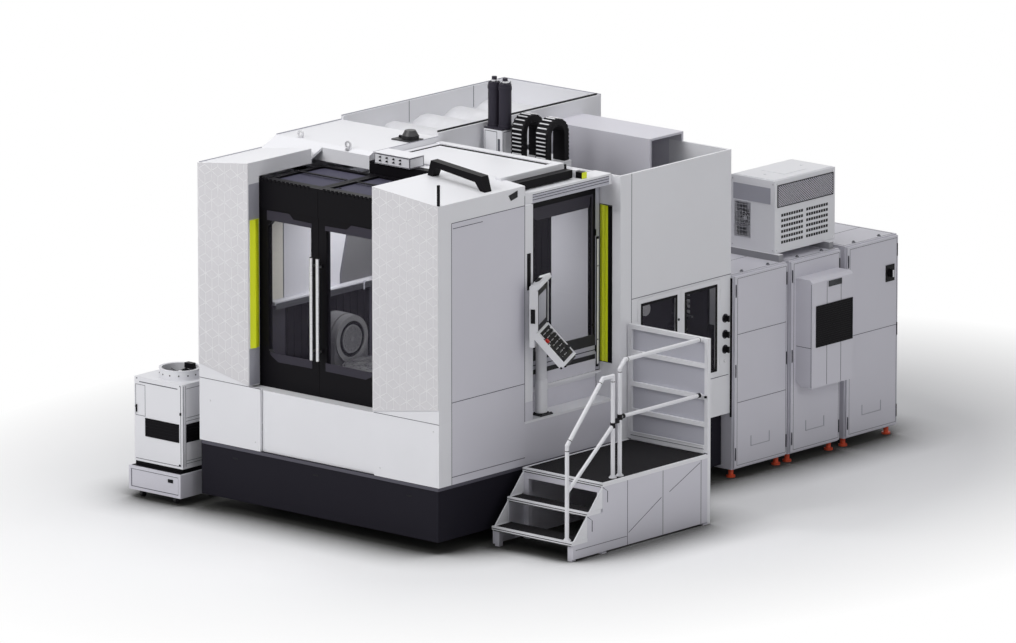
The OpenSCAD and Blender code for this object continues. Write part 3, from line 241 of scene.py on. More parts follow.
def grit(name, colour):
    """Anti-slip sheet: coarse dark grains that catch the light."""
    paint = Paint(name)
    grain = paint.cloud(160.0, reach=(0.4, 0.72))
    paint.bump(grain, 0.003, 0.6)
    return paint.finish(paint.mix(grain, colour, GRAIN), 0.85, gloss=0.1)


def smoked_glass(name, low_alpha, high_alpha, limit):
    """Tinted safety glass: clear in the doors, dense and dull above a height in the roof panes."""
    paint = Paint(name)
    smear = paint.cloud(3.0, levels=(0.03, 0.10))
    side = paint.above("Z", limit)
    rough = paint.math("MAXIMUM", smear, paint.between(side, 0.0, 0.6))
    paint.dress({"Alpha": paint.between(side, low_alpha, high_alpha)})
    return paint.finish(paint.mix(side, GLASS_TINT, ROOF_TINT), rough, gloss=0.12)


def lamp_cover(name):
    """Frosted lamp strip that glows a little."""
    paint = Paint(name)
    glow = paint.cloud(30.0, 1.0, levels=(0.9, 1.0))
    paint.dress({"Emission Color": LAMP_GLOW, "Emission Strength": 0.6})
    return paint.finish(paint.mix(glow, tint(WHITE, 0.9), WHITE), 0.3)


def lit_screen(name):
    """Pale display that is a little brighter towards its top."""
    paint = Paint(name)
    shine = paint.remap(paint.axis("Z"), *SCREEN_Z)
    return paint.finish(paint.mix(shine, tint(SCREEN_PALE, 0.8), SCREEN_PALE), 0.12)


def pillar_coat():
    """White casing paint with a greyer printed face, which is the front millimetres of a pillar."""
    paint = Paint("pillar_coat")
    face_depth = 0.004
    cloud = paint.cloud(1.2)
    side = paint.above("Y", CORNER.y + face_depth)
    face = paint.mix(cloud, tint(PATTERN_GREY, 0.97), tint(PATTERN_GREY, 1.02))
    coat = paint.mix(cloud, tint(WHITE, 0.97), WHITE)
    paint.bump(paint.noise(900.0, 1.0), 0.0004, 0.12)
    return paint.finish(paint.mix(side, face, coat), paint.between(cloud, 0.40, 0.50))


def way_cover_coat():
    """White covers, yellowed towards their right-hand ends."""
    paint = Paint("way_cover_coat")
    end = span("way_covers")[1].x + CORNER.x
    worn = paint.remap(paint.axis("X"), end - 0.25, end, 0.0, 0.75)
    cloud = paint.cloud(5.0, reach=(0.35, 0.7))
    coat = paint.mix(cloud, tint(WHITE, 0.80), tint(WHITE, 0.92))
    return paint.finish(paint.mix(worn, coat, BEIGE), 0.45)


SCREEN_Z = (1.92, 2.19)
LEDGE_Z = 1.905
ROOF_PANE_Z = 2.98
CABINET_FOOT_Z = 0.082
CHILLER_FOOT_Z = 1.968
CASTER_Z = 0.069
DRIVE_Y = 1.35
POST_PLATE_Z = 1.036
# Height up to which the side frame is painted shade.
SIDE_SHADE_TOP = 1.195

MAT = {
    "white": powder_coat("white_coat", WHITE),
    "pillar": pillar_coat(),
    "pattern": powder_coat("pattern_line", PATTERN_LINE, 0.38),
    # Painted shade coat for the rear casing, side panel, platform frame and cabinet doors.
    "shade": powder_coat("painted_shade_coat", SHADE),
    "plinth": powder_coat("plinth_coat", PLINTH_BLACK, 0.55, 0.1),
    "black": powder_coat("black_coat", BLACK, 0.40, 0.06),
    "charcoal": powder_coat("charcoal_coat", CHARCOAL, 0.45, 0.15),
    "dusk": powder_coat("dusk_coat", DUSK, 0.4),
    "mid": powder_coat("mid_coat", MID, 0.45),
    "cream": powder_coat("cream_coat", CREAM, 0.45),
    "wall": powder_coat("wall_sheet", LINER_GREY, 0.4),
    "cast": powder_coat("cast_coat", CAST, 0.5, 0.25),
    "cast_pale": powder_coat("cast_pale_coat", CAST_PALE, 0.5, 0.25),
    "display": lit_screen("lit_screen"),
    "seam": moulded("joint_gap", SEAM, 0.7),
    "strip": powder_coat("strip_coat", STRIP_GREY, 0.5, 0.2),
    "lamp": lamp_cover("lamp_cover"),
    "lime": powder_coat("lime_coat", LIME, 0.35),
    "plastic": moulded("black_plastic", BLACK, 0.45, 0.12),
    "rubber": moulded("rubber", RUBBER, 0.75),
    "screen": moulded("screen_face", SCREEN_TINT, 0.14),
    "steel": brushed("brushed_steel", STEEL, (0.2, 0.2, 4.0)),
    "ground": brushed("ground_steel", STEEL, (4.0, 0.3, 0.3), 0.28),
    "iron": brushed("machined_iron", IRON, (0.6, 3.0, 0.6), 0.45),
    "red": moulded("red_plastic", RED, 0.3),
    "grit": grit("anti_slip", BLACK),
    "glass": smoked_glass("smoked_glass", 0.16, 0.97, ROOF_PANE_Z),
    "liner": two_tone("liner_sheet", CHARCOAL, LINER_GREY, "Z", LEDGE_Z, 0.4),
    "cabinet": two_tone("cabinet_coat", ORANGE, SHADE, "Z", CABINET_FOOT_Z),
    "chiller": two_tone("chiller_coat", CHILLER_GREY, WHITE, "Z", CHILLER_FOOT_Z),
    "cart": two_tone("cart_coat", BLACK, SHADE, "Z", CASTER_Z),
    "fittings": two_tone("fittings_coat", WHITE, BLACK, "Y", CORNER.y + DRIVE_Y),
    "post": two_tone("post_coat", BLACK, WHITE, "Z", POST_PLATE_Z),
    # The side frame is painted shade below its limit, on the lower panel and the recessed wall over the
    # ledge, and white above.
    "side_frame": two_tone("side_frame_coat", SHADE, WHITE, "Z", SIDE_SHADE_TOP),
    "covers": way_cover_coat(),
}

NODE_MATERIALS = {
    "white": ("lower_panels", "left_casing", "roof_hatch", "handrails", "guard_panel",
              "cart_tower", "column", "spindle_head", "pendant_console", "magazine_housing",
              "magazine_door_front", "magazine_door_rear"),
    "pillar": ("left_pillar", "right_pillar"),
    "shade": ("rear_casing", "side_panel", "platform_frame", "cabinet_door_1", "cabinet_door_2",
              "cabinet_door_3"),
    "plinth": ("plinth",),
    "black": ("roof_beam", "energy_arm", "left_door", "right_door", "side_door", "apron"),
    "charcoal": ("counterbalance", "magazine_wheel"),
    "plastic": ("knob_upper", "knob_middle", "knob_lower", "cable_chain", "isolator_handle", "chiller_fan",
                "cart_fan"),
    "lime": ("light_strips",),
    "glass": ("left_door_glass", "right_door_glass", "side_door_glass", "magazine_pane_front",
              "magazine_pane_rear"),
    "steel": ("levelling_feet", "left_door_handle", "right_door_handle"),
    "ground": ("spindle", "rotary_table"),
    "iron": ("machine_bed",),
    "cast": ("cradle", "table_saddle"),
    "liner": ("interior_liner",),
    "cabinet": ("cabinet_bodies",),
    "chiller": ("chiller_case",),
    "cart": ("cart_base",),
    "fittings": ("roof_fittings",),
    "post": ("pendant_post",),
    "side_frame": ("side_frame",),
    "covers": ("way_covers",),
    "grit": ("platform_treads",),
    "red": ("emergency_stop",),
}

for key, names in NODE_MATERIALS.items():
    for name in names:
        for place in frame["nodes"][name].material_slots:
            place.material = MAT[key]


# Shapes

SEAM_W = 0.006
SEAM_T = 0.0012
SCREW_R = 0.008


def on(face, depth):
    """Limits of a sheet on a face, below the face where the depth is negative."""
    return (face, face + depth) if depth > 0 else (face + depth, face)


def about(middle, half):
    """Limits on both sides of a middle."""
    return middle - half, middle + half


def seam(middle):
    """Limits of a joint's width."""
    return about(middle, SEAM_W / 2)


def inset(limits, margin):
    """Limits drawn in at both ends, or let out where the margin is negative."""
    return limits[0] + margin, limits[1] - margin


def shares(limits, count):
    """Middles of equal shares between two limits."""
    return [limits[0] + (limits[1] - limits[0]) * (k + 0.5) / count for k in range(count)]


def around(count, radius, middle=(0.0, 0.0)):
    """Evenly spaced places on a circle."""
    angles = [math.tau * k / count for k in range(count)]
    return [(middle[0] + radius * math.cos(a), middle[1] + radius * math.sin(a)) for a in angles]


class Shape:
    """Gathers solids, given in casing coordinates, into the mesh of one piece."""

    def __init__(self, place=at):
        self.mesh = bmesh.new()
        self.place = place

    def loop(self, points):
        return [self.mesh.verts.new(self.place(*point)) for point in points]

    def band(self, low, high):
        """Faces between two loops."""
        for i in range(len(low)):
            j = (i + 1) % len(low)
            self.mesh.faces.new((low[i], low[j], high[j], high[i]))

    def solid(self, low, high):
        """Closes two rings of points into a solid."""
        first = self.loop(low)
        second = self.loop(high)
        self.mesh.faces.new(first[::-1])
        self.mesh.faces.new(second)
        self.band(first, second)
        return self

    def tower(self, points, z):
        """Outline in X and Y carried along Z."""
        return self.solid([(u, v, z[0]) for u, v in points], [(u, v, z[1]) for u, v in points])

    def prism(self, points, y):
        """Outline in X and Z carried along Y."""
        return self.solid([(u, y[0], v) for u, v in points], [(u, y[1], v) for u, v in points])

    def side_prism(self, points, x):
        """Outline in Y and Z carried along X."""
        return self.solid([(x[0], u, v) for u, v in points], [(x[1], u, v) for u, v in points])

    def box(self, x, y, z):
        return self.tower(((x[0], y[0]), (x[1], y[0]), (x[1], y[1]), (x[0], y[1])), z)

    def boxes(self, *limits):
        for limit in limits:
            self.box(*limit)
        return self

    def bar(self, start, end, radius, sides=20, end_radius=None):
        """Round bar or cone between two points."""
        start = Vector(start)
        end = Vector(end)
        turn = (end - start).to_track_quat("Z", "Y")
        rings = []
        for centre, size in ((start, radius), (end, radius if end_radius is None else end_radius)):
            rings.append([centre + turn @ Vector((*spoke, 0)) for spoke in around(sides, size)])
        return self.solid(*rings)

    def stud(self, base, way, radius, sides=20, end_radius=None):
        """Round bar from a base, with its way given."""
        return self.bar(base, [a + b for a, b in zip(base, way)], radius, sides, end_radius)

    def ring(self, centre, axis, outer, inner, depth, sides=40):
        """Flat ring about an axis, from its centre onwards."""
        turn = Vector(axis).to_track_quat("Z", "Y")
        loops = []
        for size, lift in ((outer, 0.0), (outer, depth), (inner, depth), (inner, 0.0)):
            points = [Vector(centre) + turn @ Vector((*spoke, lift)) for spoke in around(sides, size)]
            loops.append(self.loop(points))
        for low, high in zip(loops, loops[1:] + loops[:1]):
            self.band(low, high)
        return self

    def frame_x(self, x, y, z, width):
        """Rectangular frame that faces X."""
        between = inset(y, width)
        return self.boxes((x, on(y[0], width), z), (x, on(y[1], -width), z), (x, between, on(z[0], width)),
                          (x, between, on(z[1], -width)))

    def frame_y(self, x, y, z, width):
        """Rectangular frame that faces Y."""
        between = inset(x, width)
        return self.boxes((on(x[0], width), y, z), (on(x[1], -width), y, z), (between, y, on(z[0], width)),
                          (between, y, on(z[1], -width)))

    def piece(self, name, key, body="machine", bevel=0.0):
        """Turns what is gathered into a piece with its material and body."""
        bmesh.ops.recalc_face_normals(self.mesh, faces=self.mesh.faces)
        data = bpy.data.meshes.new(name)
        self.mesh.to_mesh(data)
        self.mesh.free()
        data.materials.append(MAT[key])
        made = bpy.data.objects.new(name, data)
        bpy.context.scene.collection.objects.link(made)
        if bevel:
            soften = made.modifiers.new("soften", "BEVEL")
            soften.width = bevel
            soften.segments = 2
            soften.limit_method = "ANGLE"
        for face in data.polygons:
            face.use_smooth = False
        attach(made, body)


def slabs(name, key, *boxes, body="machine", bevel=0.0, place=at):
    """One piece made of boxes, each with its limits in X, Y and Z."""
    Shape(place).boxes(*boxes).piece(name, key, body, bevel)


# Printed cubes on the pillars' faces

PATTERN_EDGE = 0.091
PATTERN_W = 0.0048
PATTERN_T = 0.0007
PATTERN_SINK = 0.0005
PATTERN_TAPER = 0.6
SHORTEST_SHARE = 0.02
FACE_MARGIN = 0.012
FACE_SLOPE = 0.13
FACE_RELIEF = 0.008
PILLAR_RISE = 0.075
LEFT_PILLAR = span("left_pillar")
RIGHT_PILLAR = span("right_pillar")
SILL_Z = LEFT_PILLAR[0].z
PILLAR_TOP = LEFT_PILLAR[1].z - PILLAR_RISE


def clipped(start, end, corners):
    """Part of a segment that lies inside a convex outline given anticlockwise, or None."""
    low = 0.0
    high = 1.0
    way = end - start
    for corner, after in zip(corners, corners[1:] + corners[:1]):
        edge = after - corner
        inward = Vector((-edge.y, edge.x))
        run = inward.dot(way)
        rest = inward.dot(start - corner)
        if abs(run) < 1e-9:
            if rest < 0:
                return None
        elif run > 0:
            low = max(low, -rest / run)
        else:
            high = min(high, -rest / run)
    if high - low < SHORTEST_SHARE:
        return None
    return start + way * low, start + way * high


def strip(line, width, taper=1.0):
    """Outline of a thin strip along a line, with its end's share of the width."""
    start, end = line
    side = (end - start).orthogonal().normalized() * width / 2
    return [tuple(p) for p in (start - side, end - side * taper, end + side * taper, start + side)]


def pillar_pattern(name, corners):
    """Thin printed lines of a tumbling-block pattern, cut off at the face's edges."""
    shape = Shape()
    row_h = 1.5 * PATTERN_EDGE
    col_w = math.sqrt(3) * PATTERN_EDGE
    low = Vector((min(c.x for c in corners), min(c.y for c in corners)))
    high = Vector((max(c.x for c in corners), max(c.y for c in corners)))
    for row in range(int((high.y - low.y) / row_h) + 2):
        for col in range(int((high.x - low.x) / col_w) + 2):
            hub = low + Vector((col * col_w + (row % 2) * col_w / 2, row * row_h))
            for spoke in range(6):
                angle = math.radians(30 + 60 * spoke)
                line = clipped(hub, hub + PATTERN_EDGE * Vector((math.cos(angle), math.sin(angle))), corners)
                if line is not None:
                    shape.prism(strip(line, PATTERN_W, PATTERN_TAPER), (-PATTERN_T, PATTERN_SINK))
    shape.piece(name, "pattern")


def face_corners(outer, inner):
    """Corners of a pillar's face, a little inside its edges, anticlockwise."""
    step = FACE_MARGIN if inner > outer else -FACE_MARGIN
    low_outer = Vector((outer + step, SILL_Z + FACE_SLOPE + FACE_MARGIN))
    low_inner = Vector((inner - step, SILL_Z + FACE_RELIEF + FACE_MARGIN))
    top_inner = Vector((inner - step, PILLAR_TOP + PILLAR_RISE - FACE_MARGIN))
    top_outer = Vector((outer + step, PILLAR_TOP - FACE_MARGIN))
    ring = [low_outer, low_inner, top_inner, top_outer]
    return ring if inner > outer else ring[::-1]


pillar_pattern("pattern_left", face_corners(LEFT_PILLAR[0].x, LEFT_PILLAR[1].x))
pillar_pattern("pattern_right", face_corners(RIGHT_PILLAR[1].x, RIGHT_PILLAR[0].x))


# Casing

PLINTH = span("plinth")
PANELS = span("lower_panels")
SIDE = span("side_panel")
SIDE_FRAME = span("side_frame")
LEFT = span("left_casing")
MAGAZINE = span("magazine_housing")
PANEL_FRONT = PANELS[0].y
LIP = 0.006
PLINTH_SLOTS = ((-1.476, 0.50), (-0.36, 0.49), (-2.45, 0.50))
SLOT_H = 0.012
PANEL_SCREWS = ((-2.747, 1.0), (-2.20, 0.70), (-0.065, 1.13), (-0.70, 0.70))
LEFT_PANEL_W = 0.74
RIGHT_PANEL_W = 0.77
LUG_Y = 0.95
LUG_OUTLINE = ((0.0, 0.05), (0.12, 0.08), (0.12, 0.02), (0.03, 0.0))
RETURN_Y = (0.012, 0.148)
RETURN_Z = ((1.212, 1.545), (2.735, 3.06))
LIME_Z = extent("light_strips", "z")


def casing_fittings():
    """Lip over the plinth, slots, screws, the joints between the casing's panels and a lifting recess."""
    low, high = PLINTH
    lip_z = (high.z - 0.034, high.z - 0.004)
    slabs("plinth_lip", "strip", ((low.x, high.x + LIP), on(low.y, -LIP), lip_z),
          (on(high.x, LIP), (low.y, high.y), lip_z), bevel=0.002)
    slots = Shape()
    for x, z in PLINTH_SLOTS:
        slots.frame_y(about(x, 0.03), on(low.y, -0.003), on(z, SLOT_H), 0.003)
    slots.piece("plinth_slots", "rubber")
    screws = Shape()
    for x, z in PANEL_SCREWS:
        screws.stud((x, PANEL_FRONT, z), (0, -0.004, 0), SCREW_R, 12, SCREW_R * 0.7)
    screws.piece("panel_screws", "steel")
    sill = ((PANEL_FRONT - SEAM_T, PANEL_FRONT + 0.004), (SILL_Z - 0.004, SILL_Z + 0.001))
    slabs("sill_joints", "strip", (on(PANELS[0].x, LEFT_PANEL_W), *sill), ((-RIGHT_PANEL_W, 0.0), *sill))

    low, high = SIDE
    x = on(high.x, SEAM_T)
    y = (low.y, high.y)
    slabs("side_joints", "seam", (x, seam(low.y), (low.z, high.z)),
          (x, seam(high.y - SEAM_W / 2), (1.02, high.z + 0.09)), (x, y, seam(1.37)), (x, y, seam(high.z)),
          (x, (low.y + 0.02, low.y + 0.42), seam(high.z - 0.05)), (x, y, seam(0.69)))
    lug_z = high.z + 0.075
    lug = Shape().side_prism([(LUG_Y + u, lug_z + v) for u, v in LUG_OUTLINE], (0.0, 0.004))
    lug.bar((0.006, LUG_Y + 0.02, lug_z + 0.028), (0.006, LUG_Y + 0.11, lug_z + 0.05), 0.006)
    lug.piece("lifting_recess", "rubber")

    low, high = MAGAZINE
    x = on(high.x, SEAM_T)
    joint_y = low.y + 0.155
    slabs("magazine_joints", "seam", (x, seam(joint_y), (PLINTH[1].z, high.z)),
          (x, (joint_y, high.y), seam(1.92)), (x, (joint_y + 0.1, high.y - 0.03), seam(0.985)))


def door_post():
    """Pull in the white post, strip beside the magazine's lime panel and the painted shade plates on the
    pillar's return.
    """
    y = (SIDE_FRAME[0].y + 0.028, SIDE_FRAME[0].y + 0.074)
    z = (2.22, 2.555)
    pull = Shape().frame_x((0.0, 0.006), y, z, 0.008).box((0.0, 0.002), inset(y, 0.008), inset(z, 0.008))
    pull.bar((0.004, y[0] + 0.018, 2.26), (0.004, y[0] + 0.018, 2.52), 0.005)
    pull.piece("post_pull", "plastic", bevel=0.001)

    front = MAGAZINE[0].y
    black = Shape().box((-0.062, -0.022), on(front, -0.008), LIME_Z)
    black.frame_y((-0.166, -0.016), on(front, -0.003), inset(LIME_Z, -0.008), 0.006)
    black.piece("magazine_strip", "black", bevel=0.001)
    slabs("magazine_lime_edge", "lime", ((-0.093, -0.062), on(front, -0.010), LIME_Z), bevel=0.002)
    # The return plates are painted shade on the pillar's inner return face.
    slabs("return_plates", "dusk", *((on(LEFT_PILLAR[1].x, 0.0015), RETURN_Y, z) for z in RETURN_Z))


# Roof

HOUSING_Y = (1.06, 1.94)
HOUSING_TOP = 3.27
FLANGE_W = 0.008
BEAM_W = 0.075
BOX_X = (-1.60, -1.18)
PLUG_X = -1.53
EYES = ((-1.98, 1.03), (-2.62, 1.10))
SWITCH_Y = (2.03, 2.09)
PARAPET_JOINTS = (2.85, 3.75)
TROUGH_BLOCKS = 24
DOME_Y = 1.66


def hatch():
    """Beams and gaps of the roof hatch, and the connector box in front of it."""
    low, high = span("roof_hatch")
    top = high.z - 0.012
    inner = high.y - BEAM_W
    left = low.x + 0.01
    slabs("hatch_beams", "white", ((left, high.x), (inner, high.y), on(top, 0.03)),
          (on(high.x, -BEAM_W), (low.y + 0.02, inner), on(top, 0.03)),
          (on(left, BEAM_W * 0.7), (low.y + 0.02, inner), on(top, 0.02)), bevel=0.004)
    slabs("hatch_gaps", "black", ((low.x + 0.02, high.x), on(high.y, 0.035), (top - 0.04, top + 0.012)),
          ((high.x + 0.012, high.x + 0.10), (low.y + 0.06, high.y), (top - 0.095, top - 0.02)),
          ((low.x + BEAM_W, high.x - BEAM_W - 0.02), on(inner, -0.02), on(top, 0.017)),
          ((low.x + 0.0625, low.x + 0.072), (low.y + 0.06, inner), on(top, 0.015)), bevel=0.002)

    front = span("roof_fittings")[0].y
    plugs = Shape()
    for k in range(8):
        plug = (PLUG_X + 0.08 * (k % 4), front, top + 0.035 + 0.032 * (k // 4))
        plugs.stud(plug, (0, -0.012, 0), 0.008, 14)
        plugs.stud((plug[0], front - 0.012, plug[2]), (0, -0.008, 0), 0.005, 10)
    plugs.piece("box_connectors", "plastic")
    z = (top + 0.003, top + 0.096)
    outline = Shape().frame_y(inset(BOX_X, 0.001), on(front, -0.002), z, 0.005)
    outline.frame_x(on(BOX_X[1], 0.002), on(front, 0.19), z, 0.005)
    outline.piece("box_outline", "strip")
    slabs("box_lid", "white", (inset(BOX_X, -0.006), (front - 0.006, front + 0.196), on(top + 0.097, 0.007)),
          bevel=0.002)


def roof():
    """Lifting eyes, trough seal, flanges, switch and joints on the roof."""
    eyes = Shape()
    for x, y in EYES:
        eyes.bar((x, y, 3.255), (x, y, 3.275), 0.028)
        eyes.ring((x, y - 0.008, 3.305), (0, 1, 0), 0.034, 0.020, 0.016, 28)
    eyes.piece("lifting_eyes", "steel")

    low, high = LEFT
    wall = high.x
    rim = high.z
    start, end = span("way_covers")
    run = (start.y, end.y)
    trough = Shape().box((wall - 0.085, wall - 0.028), run, (end.z + 0.02, end.z + 0.05))
    trough.box((wall - 0.032, wall - 0.022), (start.y + 0.02, end.y), (rim - 0.03, rim + 0.016))
    for y in shares(run, TROUGH_BLOCKS):
        trough.box((wall - 0.10, wall - 0.085), about(y, 0.02), (end.z + 0.026, end.z + 0.044))
    trough.piece("trough_seal", "rubber", bevel=0.002)

    left = on(low.x, FLANGE_W)
    rim_z = on(rim, FLANGE_W)
    slabs("roof_flanges", "dusk", (left, HOUSING_Y, on(HOUSING_TOP, FLANGE_W)),
          (left, (HOUSING_Y[1], high.y), rim_z), ((left[1], wall), on(high.y, -FLANGE_W), rim_z),
          (on(wall, -0.01), HOUSING_Y, on(HOUSING_TOP, FLANGE_W * 0.6)),
          (left, (LEFT_PILLAR[0].y + 0.02, LEFT_PILLAR[1].y), on(PILLAR_TOP, FLANGE_W)))

    deck = SIDE_FRAME[1].z
    slabs("roof_switch_base", "white", ((-0.22, -0.14), SWITCH_Y, on(deck, 0.07)), bevel=0.003)
    slabs("roof_switch", "plastic", ((-0.14, -0.066), SWITCH_Y, on(deck, 0.058)), bevel=0.002)
    slabs("roof_switch_end", "lime", ((-0.066, -0.058), SWITCH_Y, (deck + 0.002, deck + 0.056)), bevel=0.001)

    seams = Shape()
    for y in PARAPET_JOINTS:
        seams.box(on(low.x + 0.025, 0.0015), seam(y), (rim - 0.20, rim + 0.001))
        seams.box(on(low.x, -0.001), seam(y), (0.62, rim))
    seams.piece("parapet_joints", "seam")

    x = wall - 0.09
    base = span("roof_fittings")[1].z - 0.095
    ribs = Shape()
    for k in range(3):
        ribs.ring((x, DOME_Y, base + 0.018 + 0.011 * k), (0, 0, 1), 0.080, 0.074, 0.005)
    ribs.bar((x - 0.07, DOME_Y, base + 0.02), (x - 0.13, DOME_Y, base + 0.02), 0.014)
    for y in about(DOME_Y, 0.07):
        ribs.stud((x - 0.12, y, base - 0.03), (0, 0, 0.008), 0.008, 12)
    ribs.piece("drive_ribs", "plastic")


# Front and side doors

DOOR_FRONT = 0.17
TRIM_STEPS = 10
TRIM_TOP = ((-0.2, -0.006), (10.2, -0.006), (10.2, 0.036), (6, 0.040), (5, 0.086), (-0.2, 0.082))
TRIM_FOOT = ((0.3, 0.036), (10.2, 0.04), (10.2, -0.036), (2.3, -0.04), (0.6, 0.012))
TOOTH_PITCH = 0.05


def leaf_fittings(body, sign):
    """Window trim, toothed lintel edge, handle collars and wing bar of one front leaf."""
    low, high = span(body)
    glass = frame["nodes"][body + "_glass"].data
    pane = [v.co - CORNER for v in glass.vertices if v.co.z < ROOF_PANE_Z]
    x = (min(p.x for p in pane), max(p.x for p in pane))
    z = (min(p.z for p in pane), max(p.z for p in pane))
    outer, inner = x if sign < 0 else x[::-1]
    step = (inner - outer) / TRIM_STEPS
    trim = Shape()
    for points, edge in ((TRIM_TOP, z[1]), (TRIM_FOOT, z[0])):
        trim.prism([(outer + u * step, edge + v) for u, v in points], on(DOOR_FRONT, -0.004))
    trim.piece(body + "_trim", "charcoal", body, 0.001)

    teeth = Shape()
    for k in range(int((high.x - low.x - 0.1) / TOOTH_PITCH)):
        start = low.x + 0.06 + TOOTH_PITCH * k
        teeth.box(on(start, 0.028), (DOOR_FRONT - 0.016, DOOR_FRONT - 0.004), (high.z - 0.02, high.z + 0.012))
    teeth.piece(body + "_teeth", "black", body, 0.002)

    grip_low, grip_high = span(body + "_handle")
    x = (grip_low.x + grip_high.x) / 2
    y = grip_low.y + (grip_high.x - grip_low.x) / 2
    collars = Shape()
    for z, step in ((grip_low.z, 0.08), (grip_high.z, -0.08)):
        collars.stud((x, DOOR_FRONT, z + step), (0, -0.008, 0), 0.022)
        collars.stud((x, DOOR_FRONT - 0.008, z + step), (0, -0.006, 0), 0.016)
        collars.stud((x, y, z), (0, 0, -step / 20), 0.0165, 20, 0.012)
    collars.piece(body + "_collars", "plastic", body)

    wing_x = inset((low.x, high.x), 0.06)
    wing = Shape().box(wing_x, (0.60, 0.63), about(high.z, 0.004))
    for y in (0.30, 0.90):
        wing.stud((wing_x[0] + 0.08, y, high.z), (0, 0, 0.006), 0.014, 14)
    wing.piece(body + "_wing_bar", "black", body, 0.001)


def side_door_fittings():
    """Gasket with its tinted head band, and the grip's ends, screws and cover."""
    low, high = span("side_door")
    glass_low, glass_high = span("side_door_glass")
    face = low.x + 0.04
    y = (glass_low.y, glass_high.y)
    z = (glass_low.z, glass_high.z)
    gasket = Shape().frame_x(on(face, 0.003), inset(y, -0.02), inset(z, -0.02), 0.02)
    gasket.side_prism([(y[0], z[1]), (y[0] + 0.12, z[1] - 0.10), (y[1] - 0.02, z[1] - 0.10), (y[1], z[1])],
                      (face - 0.012, face - 0.009))
    gasket.piece("side_door_gasket", "charcoal", "side_door", 0.001)

    y = (high.y - 0.052, high.y - 0.023)
    z = (low.z + 0.04, low.z + 1.24)
    x = (face, high.x + 0.003)
    grip = Shape().boxes((x, y, on(z[0], 0.02)), (x, y, on(z[1], -0.02)))
    for screw_z in (z[0] + 0.25, z[1] - 0.27):
        grip.stud((high.x, y[0] + 0.014, screw_z), (0.003, 0, 0), 0.007, 12)
    grip.piece("side_grip_caps", "plastic", "side_door", 0.001)
    slabs("side_grip_cover", "white", (about(high.x, 0.002), inset(y, 0.004), inset(z, 0.024)),
          ((high.x - 0.002, high.x + 0.003), (y[0] + 0.011, y[0] + 0.017), inset(z, 0.3)),
          body="side_door", bevel=0.001)


HEAD_X = -0.03
LEDGE_TOP = 1.02
HEAD_FACES = ((0.002, 0.0235), (0.0325, 0.0475), (0.0565, 0.0715))
HEAD_GROOVES = ((0.0245, 0.0315), (0.0485, 0.0555), (0.0725, 0.0795))
BLACK_BAND_Z = (1.50, 1.60)
PALE_BAND_Z = (1.42, 1.50)
GROOVE_Z = (1.455, 1.463)
GAP_Z = (1.375, 1.42)
LIP_Z = (1.355, 1.375)
FOOT_Z = (1.264, 1.355)


def side_profiles():
    """Pale aluminium edges and dark stops round the side door."""
    low, high = SIDE_FRAME
    head = high.z - 0.1
    run = (low.y + 0.139, high.y - 0.03)
    slabs("side_head_faces", "mid", *((on(HEAD_X, 0.0015), run, (head + a, head + b)) for a, b in HEAD_FACES))
    slabs("side_head_grooves", "seam",
          *(((HEAD_X - 0.009, HEAD_X - 0.001), run, (head + a, head + b)) for a, b in HEAD_GROOVES))
    slabs("side_ledge_sheet", "white",
          ((low.x + 0.016, 0.0015), (low.y + 0.109, high.y), on(LEDGE_TOP, 0.0015)),
          ((0.0, 0.0015), (low.y + 0.002, high.y), on(LEDGE_TOP, -0.02)))

    low, high = span("side_door")
    face = low.x + 0.04
    stile = high.y - 0.058
    run = (low.y + 0.01, stile)
    slabs("side_door_edges", "dusk", (on(face, 0.006), (stile, high.y - 0.004), inset((low.z, high.z), 0.01)),
          (on(face, 0.006), run, (high.z - 0.040, high.z - 0.008)), (on(face, 0.006), run, PALE_BAND_Z),
          body="side_door", bevel=0.001)
    slabs("side_door_bands", "rubber", ((face - 0.010, face + 0.004), run, BLACK_BAND_Z),
          (on(face, 0.003), run, GAP_Z), (on(face + 0.006, 0.0015), run, GROOVE_Z), body="side_door")
    run = (low.y + 0.004, stile)
    # The foot plates are painted shade, like the side frame's wall beside them.
    slabs("side_door_foot", "shade", (on(face, 0.008), run, LIP_Z), (on(face, 0.004), run, FOOT_Z),
          body="side_door", bevel=0.001)
    stops = Shape()
    for z in (low.z + 0.18, low.z + 1.25):
        stops.box(on(face + 0.006, 0.008), (high.y - 0.066, high.y - 0.056), on(z, 0.06))
    stops.stud((face, high.y - 0.090, low.z + 0.43), (0.012, 0, 0), 0.016)
    stops.piece("side_door_stops", "plastic", "side_door", 0.001)


# Tool magazine

PANE_Z = (1.055, 1.843)
GASKET_W = 0.026
LATCH_Y = 3.212
KNOB_Y = mid_of("knob_upper").y
BUTTON_Z = 1.12
WHEEL_MID = mid_of("magazine_wheel").yz
POT_RADIUS = 0.47
POT_COUNT = 24
REAR_Z = (0.95, 1.95)
# Heights of the painted highlights that stand in for the lit tool pockets.
HIGHLIGHT_Z = (1.79, 1.71, 1.65, 1.59, 1.54, 1.49)


